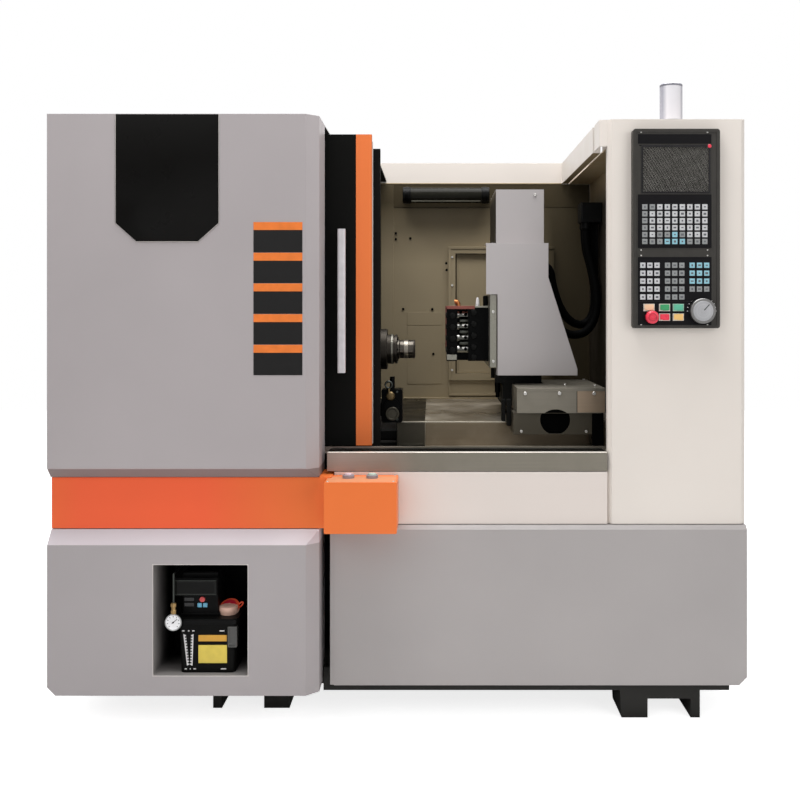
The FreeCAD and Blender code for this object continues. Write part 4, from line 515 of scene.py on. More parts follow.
    # lighter copy of the wheel's aluminium on its face: painted light
    WHEEL_FACE = TurnedMetal("aluminium", (156, 156, 158), (889.0, -630.0, 1230.0), "Y", 0.4)
    DISPLAY_LIT = Glazing("screen_glass", (78, 78, 78), roughness=0.3, coat=0.0, specular=0.1)
    PANEL_BLACK = Moulding("panel_plastic", (17, 16, 18), 0.42, 1600.0, 0.012, specular=0.08)
    DEEP_RED = Moulding("red_plastic", (168, 20, 48), 0.4, 700.0, 0.008)
    SALMON = Moulding("red_plastic", (226, 92, 92), 0.4, 700.0, 0.008)
    # the filler cap's plastics glow a little though they are no lamp: painted light
    CAP_ORANGE = Moulding("orange_plastic", (238, 92, 60), 0.34, 700.0, 0.01, 0.2, glow=0.12)
    CAP_PINK = Moulding("pale_plastic", (240, 196, 176), 0.4, 700.0, 0.01, glow=0.08)
    CAP_RED = Moulding("red_plastic", (214, 40, 62), 0.36, 700.0, 0.01, 0.2, glow=0.1)
    PALE_FRAME = Moulding("pale_plastic", (214, 206, 196), 0.4, 700.0, 0.01)
    GAUGE_CASE = BrushedMetal("polished_steel", (66, 69, 66), 0.34, (300.0, 300.0, 300.0), 0.01)
    GAUGE_RIM = BrushedMetal("polished_steel", (158, 158, 158), 0.3, (300.0, 300.0, 300.0), 0.006)
    # paler copy of the sill's stainless: painted highlight on its rolled front edge
    SILL_EDGE_HIGHLIGHT = BrushedMetal("stainless", (206, 200, 190), 0.4, (4.0, 300.0, 300.0), 0.004, contrast=0.03,
                            metal=0.4)
    # grey paint darker over Z 700–771: painted shade on the cover's downward bottom bevel
    COVER_UPPER = PowderCoat("grey_paint", (172, 165, 166),
                             field=Field("Z", 700.0, 771.0, (128, 116, 114)))
    # grey paint lighter over Z 551–600: painted light on the cover's upward top bevel
    COVER_LOWER = PowderCoat("grey_paint", (168, 162, 163),
                             field=Field("Z", 551.0, 600.0, (204, 197, 202)))
    # paler orange for the switch box's top: painted sheen
    ORANGE_TOP_SHEEN = PowderCoat("orange_paint", (208, 138, 98), roughness=0.5, clouding=0.03, specular=0.2)
    COLLAR = BrushedMetal("aluminium", (150, 144, 152), 0.5, (400.0, 400.0, 400.0), 0.01, metal=0.2)
    # grey liner darkened deep in the recess, Y −600 to −300: painted shade
    LINER = PowderCoat("grey_paint", (142, 138, 136), roughness=0.6, clouding=0.06, specular=0.08,
                       field=Field("Y", -600.0, -300.0, (10, 10, 9), 82.0))
    PINK_METAL = BrushedMetal("aluminium", (212, 186, 192), 0.5, (400.0, 400.0, 400.0), 0.01, metal=0.2)
    GREEN_METAL = BrushedMetal("aluminium", (176, 192, 180), 0.5, (400.0, 400.0, 400.0), 0.01, metal=0.2)
    TANK = Moulding("black_plastic", (11, 11, 10), 0.42, 700.0, 0.04, specular=0.07)
    DISPLAY = Glazing("screen_glass", (16, 16, 15), roughness=0.12, coat=0.0, specular=0.1)
    CLEAR_PLASTIC = Glazing("lamp_glass", (58, 58, 55), 0.0, 0.2)
    DIAL = Moulding("white_plastic", (238, 238, 240), 0.4, 900.0, 0.006, 0.4)
    # the light's body lighter in a middle band, X 814–864, than at its sides: painted light and shade on a round
    # body
    BEACON = PowderCoat("lamp_glass", (158, 158, 168), 0.3, 0.01, 0.01, 0.5, 0.2,
                        Field("X", 814.0, 864.0, (211, 210, 215), 5.0))
    BEACON_RIM = Glazing("lamp_glass", (112, 112, 120), 0.0, 0.3, 0.0, 0.2)


class Wardrobe:
    """Keeps one material for each finish."""

    made: dict[str, bpy.types.Material] = {}

    @classmethod
    def material(cls, finish: Finish) -> bpy.types.Material:
        """The material of a finish, laid out when it is first asked for."""
        if finish.name not in cls.made:
            cls.made[finish.name] = finish.value.material(finish.name.lower())
        return cls.made[finish.name]

    @classmethod
    def dress(cls, **nodes: Finish) -> None:
        """Give every slot of each CAD node its finish.

        Args:
            nodes: finish by name of the node.
        """
        for node, finish in nodes.items():
            material = cls.material(finish)
            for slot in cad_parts[node].material_slots:
                slot.material = material
            log.info("node %s wears %s", node, material.name)


# ------------------------------------------------------------------ the bench

class Bench:
    """Modelling steps, in millimetres; each leaves one finished mesh at the origin."""

    @staticmethod
    def clear() -> None:
        """Leave edit mode and deselect everything."""
        if bpy.context.object and bpy.context.object.mode != "OBJECT":
            bpy.ops.object.mode_set(mode="OBJECT")
        bpy.ops.object.select_all(action="DESELECT")

    @classmethod
    def take(cls, piece: bpy.types.Object) -> None:
        """Select one piece alone and make it active."""
        cls.clear()
        piece.select_set(True)
        bpy.context.view_layer.objects.active = piece

    @classmethod
    def settle(cls, piece: bpy.types.Object, name: str) -> bpy.types.Object:
        """Apply the piece's place to its mesh and name it.

        Args:
            piece: the piece.
            name: its name.

        Returns:
            The piece, at the origin, unturned and unscaled.
        """
        cls.take(piece)
        bpy.ops.object.transform_apply(location=True, rotation=True, scale=True)
        piece.name = name
        piece.data.name = name
        return piece

    @classmethod
    def smooth(cls, piece: bpy.types.Object, degrees: float = 35.0) -> None:
        """Shade smooth across edges flatter than an angle."""
        cls.take(piece)
        bpy.ops.object.shade_smooth_by_angle(angle=math.radians(degrees))

    @classmethod
    def block(cls, name: str, x: Span, y: Span, z: Span, bevel: float = 1.0, steps: int = 2) -> bpy.types.Object:
        """Block between three pairs of places, with all its edges rounded.

        Args:
            name: name of the piece.
            x: left and right.
            y: front and rear.
            z: bottom and top.
            bevel: radius of the edges.
            steps: faces across each rounded edge.

        Returns:
            The piece.
        """
        cls.clear()
        centre = [METRE * (a + b) / 2 for a, b in (x, y, z)]
        size = [METRE * (b - a) for a, b in (x, y, z)]
        bpy.ops.mesh.primitive_cube_add(size=1.0, location=centre)
        piece = bpy.context.object
        piece.scale = size
        cls.settle(piece, name)
        bpy.ops.object.mode_set(mode="EDIT")
        bpy.ops.mesh.select_all(action="SELECT")
        bpy.ops.mesh.bevel(offset=min(bevel * METRE, 0.45 * min(size)), segments=steps, profile=0.5)
        bpy.ops.object.mode_set(mode="OBJECT")
        cls.smooth(piece, 20.0)
        return piece

    @classmethod
    def turned(cls, name: str, profile: list[Span], centre: Point, letter: str = "Z",
               sides: int = 32, closed: bool = False) -> bpy.types.Object:
        """Round piece: a disc extruded along its axis, each new ring drawn in or out.

        Args:
            name: name of the piece.
            profile: (along, radius) of each ring from one end to the other.
            centre: place of the axis where along is zero.
            letter: axis, X, Y or Z.
            sides: corners of each ring.
            closed: merge what is doubled where the rings meet.

        Returns:
            The piece.
        """
        cls.clear()
        along, radius = profile[0]
        bpy.ops.mesh.primitive_circle_add(vertices=sides, radius=radius * METRE, fill_type="NGON",
                                          location=(0.0, 0.0, 0.0))
        piece = bpy.context.object
        bpy.ops.object.mode_set(mode="EDIT")
        bpy.ops.mesh.select_all(action="SELECT")
        last = radius
        for step, wide in profile[1:]:
            rise = (step - along) * METRE
            bpy.ops.mesh.extrude_region_move(TRANSFORM_OT_translate={"value": (0.0, 0.0, rise)})
            ratio = wide / last
            bpy.ops.transform.resize(value=(ratio, ratio, 1.0), center_override=(0.0, 0.0, 0.0))
            along, last = step, wide
        bpy.ops.mesh.select_all(action="SELECT")
        bpy.ops.mesh.normals_make_consistent(inside=False)
        bpy.ops.object.mode_set(mode="OBJECT")
        piece.location = (0.0, 0.0, profile[0][0] * METRE)
        cls.settle(piece, name)
        turns = {"X": (0.0, math.pi / 2, 0.0), "Y": (-math.pi / 2, 0.0, 0.0), "Z": (0.0, 0.0, 0.0)}
        piece.rotation_euler = turns[letter]
        piece.location = [c * METRE for c in centre]
        cls.settle(piece, name)
        cls.smooth(piece, 30.0)
        if closed:
            cls.weld(piece)
        return piece

    @classmethod
    def ring(cls, name: str, centre: Point, letter: str, outer: float, bar: float,
             sides: int = 36) -> bpy.types.Object:
        """Round ring of round bar, squared a little by a bevel of its section.

        Args:
            name: name of the piece.
            centre: its middle.
            letter: its axis.
            outer: outer radius.
            bar: radius of the bar.
            sides: steps round the ring.

        Returns:
            The piece.
        """
        cls.clear()
        turns = {"X": (0.0, math.pi / 2, 0.0), "Y": (math.pi / 2, 0.0, 0.0), "Z": (0.0, 0.0, 0.0)}
        bpy.ops.mesh.primitive_torus_add(major_radius=(outer - bar) * METRE, minor_radius=bar * METRE,
                                         major_segments=sides, minor_segments=10, rotation=turns[letter],
                                         location=[c * METRE for c in centre])
        piece = cls.settle(bpy.context.object, name)
        cls.smooth(piece, 60.0)
        return piece

    @classmethod
    def bar(cls, name: str, route: list[Point], radius: float, smooth: bool = False,
            order: int = 3) -> bpy.types.Object:
        """Round bar or pipe along a route.

        Args:
            name: name of the piece.
            route: its corners.
            radius: radius of the bar.
            smooth: follow the corners as one soft curve.
            order: order of the soft curve.

        Returns:
            The piece, as a closed mesh.
        """
        cls.clear()
        line = bpy.data.curves.new(name, "CURVE")
        line.dimensions = "3D"
        spline = line.splines.new("NURBS" if smooth else "POLY")
        spline.points.add(len(route) - 1)
        for knot, place in zip(spline.points, route):
            knot.co = (*[c * METRE for c in place], 1.0)
        if smooth:
            spline.order_u = order
            spline.use_endpoint_u = True
            spline.resolution_u = 8
        line.bevel_depth = radius * METRE
        line.bevel_resolution = 5
        line.use_fill_caps = True
        piece = bpy.data.objects.new(name, line)
        bpy.context.scene.collection.objects.link(piece)
        cls.take(piece)
        bpy.ops.object.convert(target="MESH")
        cls.weld(piece)
        cls.smooth(piece, 50.0)
        return piece

    @classmethod
    def weld(cls, piece: bpy.types.Object) -> None:
        """Merge doubled points and turn the faces outwards."""
        cls.take(piece)
        bpy.ops.object.mode_set(mode="EDIT")
        bpy.ops.mesh.select_all(action="SELECT")
        bpy.ops.mesh.remove_doubles(threshold=0.00001)
        bpy.ops.mesh.normals_make_consistent(inside=False)
        bpy.ops.object.mode_set(mode="OBJECT")

    @classmethod
    def sunk(cls, piece: bpy.types.Object, letter: str, sign: int, margin: float, depth: float,
             corner: float = 0.0) -> bpy.types.Object:
        """Inset the outermost face on one side and push it in, or out where the depth is negative.

        Args:
            piece: the piece.
            letter: axis of the side.
            sign: 1 for the high side, -1 for the low side.
            margin: width of the rim that stays.
            depth: how far the middle goes in.
            corner: how far its edge is drawn in as well.

        Returns:
            The piece.
        """
        axis = "XYZ".index(letter)
        faces = piece.data.polygons
        level = max(sign * f.center[axis] for f in faces if sign * f.normal[axis] > 0.99)
        for face in faces:
            face.select = sign * face.normal[axis] > 0.99 and sign * face.center[axis] > level - 1e-6
        for edge in piece.data.edges:
            edge.select = False
        for corner_point in piece.data.vertices:
            corner_point.select = False
        for face in faces:
            if face.select:
                for index in face.vertices:
                    piece.data.vertices[index].select = True
        cls.take(piece)
        bpy.ops.object.mode_set(mode="EDIT")
        bpy.ops.mesh.select_mode(type="FACE")
        bpy.ops.mesh.inset(thickness=margin * METRE, depth=0.0)
        way = [0.0, 0.0, 0.0]
        way[axis] = -sign * depth * METRE
        bpy.ops.mesh.extrude_region_move(TRANSFORM_OT_translate={"value": way})
        if corner:
            bpy.ops.mesh.inset(thickness=corner * METRE, depth=0.0)
        bpy.ops.mesh.select_mode(type="VERT")
        bpy.ops.object.mode_set(mode="OBJECT")
        cls.smooth(piece, 30.0)
        return piece

    @classmethod
    def trimmed(cls, piece: bpy.types.Object, point: Point, away: Point) -> bpy.types.Object:
        """Cut off what lies beyond a plane and close the cut.

        Args:
            piece: the piece.
            point: a point of the plane, in millimetres.
            away: direction of the side that goes.

        Returns:
            The piece.
        """
        cls.take(piece)
        bpy.ops.object.mode_set(mode="EDIT")
        bpy.ops.mesh.select_all(action="SELECT")
        bpy.ops.mesh.bisect(plane_co=[c * METRE for c in point], plane_no=away, use_fill=True,
                            clear_outer=True)
        bpy.ops.object.mode_set(mode="OBJECT")
        return piece

    @classmethod
    def plate(cls, name: str, x: Span, z: Span, wall: float, thick: float = 1.0,
              bevel: float = 0.4) -> bpy.types.Object:
        """Flat plate on the front of a wall.

        Args:
            name: name of the piece.
            x: left and right.
            z: bottom and top.
            wall: place of the wall on the Y axis.
            thick: how far the plate stands out.
            bevel: radius of its edges.

        Returns:
            The piece.
        """
        return cls.block(name, x, (wall - thick, wall + 0.2), z, bevel, 1)

    @classmethod
    def copied(cls, piece: bpy.types.Object, name: str, move: Point) -> bpy.types.Object:
        """Copy of a piece with its own mesh, moved by so much."""
        twin = piece.copy()
        twin.data = piece.data.copy()
        twin.name = name
        bpy.context.scene.collection.objects.link(twin)
        twin.data.transform(Matrix.Translation([m * METRE for m in move]))
        return twin

    @classmethod
    def tilted(cls, piece: bpy.types.Object, centre: Point, letter: str, degrees: float) -> bpy.types.Object:
        """Turn a piece's mesh about an axis through a point."""
        middle = Vector(centre) * METRE
        turn = Matrix.Rotation(math.radians(degrees), 4, letter)
        piece.data.transform(Matrix.Translation(middle) @ turn @ Matrix.Translation(-middle))
        return piece

    @classmethod
    def gathered(cls, name: str, pieces: list[bpy.types.Object]) -> bpy.types.Object:
        """Join pieces into one object under a name."""
        cls.take(pieces[0])
        for piece in pieces:
            piece.select_set(True)
        if len(pieces) > 1:
            bpy.ops.object.join()
        joined = bpy.context.object
        joined.name = name
        joined.data.name = name
        return joined

    @classmethod
    def spread(cls, name: str, piece: bpy.types.Object, moves: list[Point]) -> bpy.types.Object:
        """Copies of a piece at further places, joined with it into one object."""
        twins = [cls.copied(piece, f"{name}_{i}", move) for i, move in enumerate(moves)]
        return cls.gathered(name, [piece] + twins)


class Assembly:
    """A part of the machine that dresses its nodes and adds its own pieces."""

    body = "root"

    def fit(self, piece: bpy.types.Object, finish: Finish, body: str = "") -> bpy.types.Object:
        """Finish a piece and hang it on a body.

        Args:
            piece: the piece.
            finish: its finish.
            body: body that carries it, where it isn't the assembly's own.

        Returns:
            The piece.
        """
        piece.data.materials.clear()
        piece.data.materials.append(Wardrobe.material(finish))
        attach(piece, body or self.body)
        log.info("piece %s: %s", piece.name, finish.name)
        return piece

    def screws(self, name: str, places: list[Point], letter: str, sign: int, radius: float = 4.0,
               finish: Finish = Finish.BLACKENED, body: str = "") -> bpy.types.Object:
        """Socket screws at places on a wall, modelled once and copied.

        Args:
            name: name of the joined piece.
            places: middle of each head on the wall.
            letter: axis of the screws.
            sign: side on which the heads stand.
            radius: radius of a head.
            finish: their finish.
            body: body that carries them.

        Returns:
            The piece.
        """
        high = 0.8 * radius
        profile = [(-0.6 * sign, radius), (sign * high * 0.8, radius), (sign * high, 0.85 * radius),
                   (sign * high, 0.5 * radius), (sign * high * 0.35, 0.45 * radius)]
        first = places[0]
        head = Bench.turned(name, profile, first, letter, 14, closed=True)
        moves = [tuple(p - f for p, f in zip(place, first)) for place in places[1:]]
        return self.fit(Bench.spread(name, head, moves), finish, body)


# ------------------------------------------------------------------ left bay

@dataclass
class LeftBay(Assembly):
    """Covers of the left bay with their black field, colour plates and switch box."""

    body: str = "root"
    front: float = -700.0
    infill_centre: float = -679.0
    infill_half: float = 149.0
    infill_foot_half: float = 89.5
    infill_levels: Point = (1432.0, 1485.0, 1800.5)
    edge_line: float = 2.4
    plate_span: Span = (-429.0, -287.0)
    plate_top: float = 1488.0
    plate_pitch: float = 89.0
    header_height: float = 23.0
    plate_count: int = 5
    button_places: Span = (-157.0, -87.0)
    button_row: float = -660.0
    button_level: float = 746.0
    recess: tuple[float, ...] = (-720.0, -446.0, 172.5, 493.5)
    panel_return: tuple[Span, ...] = ((-215.5, -203.5), (-616.0, -604.0), (116.0, 588.0))

    def infill(self, name: str, grow: float, proud: float, finish: Finish) -> None:
        """Field that narrows at its foot, cut from one block.

        Args:
            name: name of the piece.
            grow: how much wider than the black field it is on each side.
            proud: how far it stands out.
            finish: its finish.
        """
        foot, shoulder, top = self.infill_levels
        half = self.infill_half + grow
        middle = self.infill_centre
        piece = Bench.block(name, (middle - half, middle + half),
                            (self.front - proud, self.front - 1.4), (foot - grow, top), 0.3, 1)
        slope = Vector((shoulder - foot, 0.0, -(self.infill_half - self.infill_foot_half))).normalized()
        for side in (-1, 1):
            away = (side * slope.x, 0.0, slope.z)
            Bench.trimmed(piece, (middle + side * half, self.front, shoulder), away)
        self.fit(piece, finish)

    def plates(self) -> None:
        """Column of blank two-colour plates on the cover."""
        left, right = self.plate_span
        rows = [self.plate_top - i * self.plate_pitch for i in range(self.plate_count)]
        field = self.plate_pitch - self.header_height
        head = Bench.plate("plate_headers", (left, right), (rows[0] - self.header_height, rows[0]),
                           self.front)
        foot = rows[0] - self.header_height
        dark = Bench.plate("plate_fields", (left, right), (foot - field + 0.8, foot), self.front, 0.9)
        moves = [(0.0, 0.0, -i * self.plate_pitch) for i in range(1, self.plate_count)]
        self.fit(Bench.spread("plate_headers", head, moves), Finish.ORANGE_FIELD)
        self.fit(Bench.spread("plate_fields", dark, moves), Finish.DARK_FIELD)

    def recess_rim(self) -> None:
        """Pale return of the cover round the recess, a lighter copy of the grey paint as painted highlight."""
        left, right, low, high = self.recess
        edge = self.edge_line
        fields = (((left - edge, right + edge), (high, high + edge)),
                  ((left - edge, right + edge), (low - edge, low)),
                  ((left - edge, left), (low, high)),
                  ((right, right + edge), (low, high)))
        strips = [Bench.plate("recess_rim", x, z, self.front, 0.5, 0.2) for x, z in fields]
        self.fit(Bench.gathered("recess_rim", strips), Finish.PALE_EDGE_HIGHLIGHT)

    def switches(self) -> None:
        """Metal collars of the round buttons, a paler sheet of painted sheen on the switch box's top and the
        screws in its top.
        """
        for side, x in zip(("left", "right"), self.button_places):
            profile = [(-6.8, 17.4), (1.6, 17.4), (2.4, 16.6), (2.4, 13.2), (0.4, 13.0)]
            self.fit(Bench.turned(f"button_collar_{side}", profile, (x, self.button_row, self.button_level),
                                  "Z", 40), Finish.COLLAR)
        # paler sheet on the box top: painted sheen
        self.fit(Bench.block("switch_box_sheen_sheet", (-217.0, -16.0), (-734.0, -633.0), (738.6, 739.4), 0.3, 1),
                 Finish.ORANGE_TOP_SHEEN)
        lid = [(x, y, 739.0) for x in (-211.0, -22.0) for y in (-728.0, -612.0)]
        self.screws("switch_box_screws", lid, "Z", 1, 3.2, Finish.ALUMINIUM)

    def build(self) -> None:
        """Dress the covers and add their pieces."""
        Wardrobe.dress(upper_left_cover=Finish.COVER_UPPER, lower_left_cover=Finish.COVER_LOWER,
                       left_roof=Finish.GREY, orange_band=Finish.ORANGE, left_side_panel=Finish.CREAM,
                       recess_liner=Finish.LINER, switch_button_left=Finish.PINK_METAL,
                       switch_button_right=Finish.GREEN_METAL)
        # pale edge round the black field: painted highlight
        self.infill("infill_edge", self.edge_line, 1.9, Finish.PALE_EDGE_HIGHLIGHT)
        self.infill("infill_field", 0.0, 2.6, Finish.INFILL)
        self.plates()
        self.recess_rim()
        x, y, z = self.panel_return
        self.fit(Bench.block("panel_return", x, y, z, 0.4, 1), Finish.GREY)
        self.switches()


@dataclass
class Lubricator(Assembly):
    """Oil lubricator in its recess: display, lamps, lid, scale, gauge dial and tubes."""

    body: str = "root"
    tank_front: float = -676.0
    flange_front: float = -680.0
    head_front: float = -642.0
    visor_front: float = -672.0
    visor_span: Span = (-668.0, -540.0)
    visor_levels: Span = (396.5, 445.5)
    lamp_rows: Span = (378.0, 362.0)
    scale_rows: Span = (193.6, 285.4)
    scale_teeth: int = 11
    marks: tuple[Point, ...] = ((-638.5, 295.0, 7.0), (-622.5, 295.0, 4.0), (-609.0, 295.0, 7.0),
                                (-631.0, 184.0, 6.0), (-618.0, 184.0, 3.0), (-605.0, 184.0, 7.0),
                                (-521.0, 184.0, 16.0), (-525.0, 295.0, 14.0))
    gauge_place: Point = (-664.0, -692.0, 324.0)
    gauge_radius: float = 25.0
    cap_place: Point = (-516.0, -600.0, 330.5)
    cap_lean: Span = (34.0, -8.0)
    dial_marks: int = 9
    dial_start: float = -135.0
    dial_step: float = 33.75
    needle_turn: float = 50.0

    def head(self) -> None:
        """Bevelled display frame on the visor, indicator windows and push-buttons."""
        low, high = self.visor_levels
        left, right = self.visor_span
        frame_piece = Bench.block("display_frame", (left + 2, right - 2),
                                  (self.visor_front - 1.6, self.visor_front + 5), (low + 2, high - 3), 1.4)
        Bench.sunk(frame_piece, "Y", -1, 5.0, 1.6)
        self.fit(frame_piece, Finish.SMOKED)
        self.fit(Bench.plate("display_glass", (left + 7, right - 7), (low + 7, high - 8),
                             self.visor_front + 0.2, 0.9), Finish.DISPLAY)
        lines = [Bench.plate("display_line", (left + 3, right - 3), (z, z + 1.2), self.visor_front - 1.5, 0.4, 0.1)
                 for z in (low + 3, high - 5)]
        self.fit(Bench.gathered("display_lines", lines), Finish.GAUGE_CASE)
        for number, level in enumerate(self.lamp_rows, start=1):
            window = Bench.block(f"indicator_{number}", (-643.0, -615.0),
                                 (self.head_front - 1.6, self.head_front + 1), (level - 5.0, level + 5.0),
                                 1.0)
            Bench.sunk(window, "Y", -1, 1.6, 0.8)
            self.fit(window, Finish.DISPLAY_LIT)
        self.fit(Bench.turned("head_button_red", [(1.0, 8.2), (-3.0, 8.2), (-4.2, 7.0), (-4.6, 4.0)],
                              (-590.0, self.head_front, self.lamp_rows[0]), "Y", 28, closed=True),
                 Finish.SALMON)
        key = Bench.block("head_keys", (-604.5, -591.5), (self.head_front - 3.2, self.head_front + 1),
                          (354.5, 367.5), 1.6)
        self.fit(Bench.spread("head_keys", key, [(16.5, 0.0, 0.0)]), Finish.BLUE_PLASTIC)
        self.fit(Bench.block("head_foot", (-652.0, -538.0), (self.head_front - 3, self.head_front + 92),
                             (330.6, 338.0), 1.6), Finish.BLACK_PLASTIC)

    def tank(self) -> None:
        """Lid seam, blank colour fields, level scale and the clear bracket of the tank."""
        self.fit(Bench.block("tank_lid", (-652.0, -482.0), (self.flange_front - 2.2, self.flange_front + 172),
                             (316.0, 328.0), 1.8), Finish.BLACK_PLASTIC)
        wall = self.tank_front
        self.fit(Bench.plate("ochre_field", (-594.0, -511.0), (264.6, 283.0), wall), Finish.OCHRE_FIELD)
        self.fit(Bench.plate("yellow_field", (-594.0, -510.5), (201.0, 253.8), wall), Finish.YELLOW_FIELD)
        low, high = self.scale_rows
        teeth = []
        for side, foot, head in ((-1, -626.0, -636.5), (1, -613.0, -609.8)):
            lean = math.degrees(math.atan2(head - foot, high - low))
            middle = ((foot + head) / 2, wall, (low + high) / 2)
            bar = Bench.plate("scale_bar", (middle[0] - 1.5, middle[0] + 1.5), (low, high), wall, 0.5, 0.15)
            teeth.append(Bench.tilted(bar, middle, "Y", lean))
            for i in range(self.scale_teeth):
                z = low + (i + 0.5) * (high - low) / self.scale_teeth
                x = foot + (head - foot) * (z - low) / (high - low) - side * 3.0
                teeth.append(Bench.plate("scale_tooth", (x - 2.6, x + 2.6), (z - 1.9, z + 1.9), wall, 0.5,
                                         0.15))
        for x, z, wide in self.marks:
            teeth.append(Bench.plate("scale_mark", (x - wide / 2, x + wide / 2), (z - 1.5, z + 1.5), wall,
                                     0.5, 0.15))
        self.fit(Bench.gathered("level_scale", teeth), Finish.WHITE_PLASTIC)
        bracket = Bench.block("clear_bracket", (-508.0, -479.5),
                              (self.flange_front - 4, self.flange_front + 20), (248.0, 310.0), 3.0)
        Bench.sunk(bracket, "Y", -1, 2.0, 3.0)
        self.fit(bracket, Finish.CLEAR_PLASTIC)

    def cap(self) -> None:
        """Pale collar, tilted orange lid with its red disc, and strap of the filler cap."""
        x, y, z = self.cap_place
        top = (x, y - 12.0, z + 17.0)
        back, aside = self.cap_lean
        # the cap's pieces glow through their finishes: painted light
        for name, profile, sides, finish in (
                ("cap_collar", [(-17.0, 25.0), (-15.0, 27.0), (-7.0, 27.5), (-6.0, 26.0)], 44, Finish.CAP_PINK),
                ("cap_lid", [(-6.0, 26.0), (-5.0, 29.0), (2.0, 30.0), (4.0, 28.0), (4.5, 23.0)], 44,
                 Finish.CAP_ORANGE),
                ("cap_disc", [(3.5, 22.0), (5.4, 22.0), (6.0, 20.0), (6.2, 9.0)], 36, Finish.CAP_RED),
                ("cap_hub", [(5.5, 8.0), (7.4, 7.4), (7.8, 5.0)], 24, Finish.CAP_PINK)):
            piece = Bench.turned(name, profile, top, "Z", sides, closed=True)
            Bench.tilted(piece, top, "X", back)
            self.fit(Bench.tilted(piece, top, "Y", aside), finish)
        self.fit(Bench.bar("cap_strap", [(x + 24, y - 8, z + 20), (x + 33, y - 10, z + 30),
                                         (x + 41, y - 8, z + 30), (x + 38, y - 6, z + 20),
                                         (x + 24, y - 2, z + 9)], 2.2, True), Finish.CAP_ORANGE)

    def gauge(self) -> None:
        """White dial with its needle, rim and graduation, and the brass fitting above it."""
        x, y, z = self.gauge_place
        self.fit(Bench.ring("gauge_rim", (x, y + 1.4, z), "Y", self.gauge_radius, 2.0), Finish.GAUGE_RIM)
        self.fit(Bench.turned("gauge_dial", [(1.2, 21.6), (0.5, 21.4)], (x, y, z), "Y", 40, closed=True),
                 Finish.DIAL)
        marks = []
        for i in range(self.dial_marks):
            turn = self.dial_start + i * self.dial_step
            mark = Bench.plate("gauge_mark", (x - 0.8, x + 0.8), (z + 15.0, z + 19.0), y + 0.6, 0.3, 0.1)
            marks.append(Bench.tilted(mark, (x, y, z), "Y", turn))
        needle = Bench.plate("gauge_needle", (x - 0.8, x + 0.8), (z - 6.0, z + 15.0), y + 0.4, 0.5, 0.2)
        Bench.tilted(needle, (x, y, z), "Y", self.needle_turn)
        self.fit(Bench.gathered("gauge_marks", marks + [needle]), Finish.INK)
        self.fit(Bench.turned("gauge_hub", [(0.6, 2.4), (-0.8, 2.4), (-1.2, 1.6)], (x, y, z), "Y", 20,
                              closed=True), Finish.INK)
        self.fit(Bench.turned("gauge_fitting", [(22.0, 6.0), (24.0, 8.0), (34.0, 8.0), (36.0, 6.2),
                                                (44.0, 6.2), (45.0, 8.6), (54.0, 8.6), (56.0, 5.0)],
                              (x, y + 6.0, z), "Z", 6, closed=True), Finish.BRASS)

    def build(self) -> None:
        """Dress the lubricator and add its pieces."""
        Wardrobe.dress(lubricator_tank=Finish.TANK, lubricator_head=Finish.BLACK_PLASTIC,
                       filler_cap=Finish.CAP_PINK, pressure_gauge=Finish.GAUGE_CASE)
        self.head()
        self.tank()
        self.cap()
        self.gauge()


# ------------------------------------------------------------------ control station

@dataclass(frozen=True)
class KeyGrid:
    """Rows of small keys: colour by row, W white, G grey, B blue, dot for none."""

    name: str
    columns: tuple[float, ...]
    rows: tuple[float, ...]
    colours: tuple[str, ...]


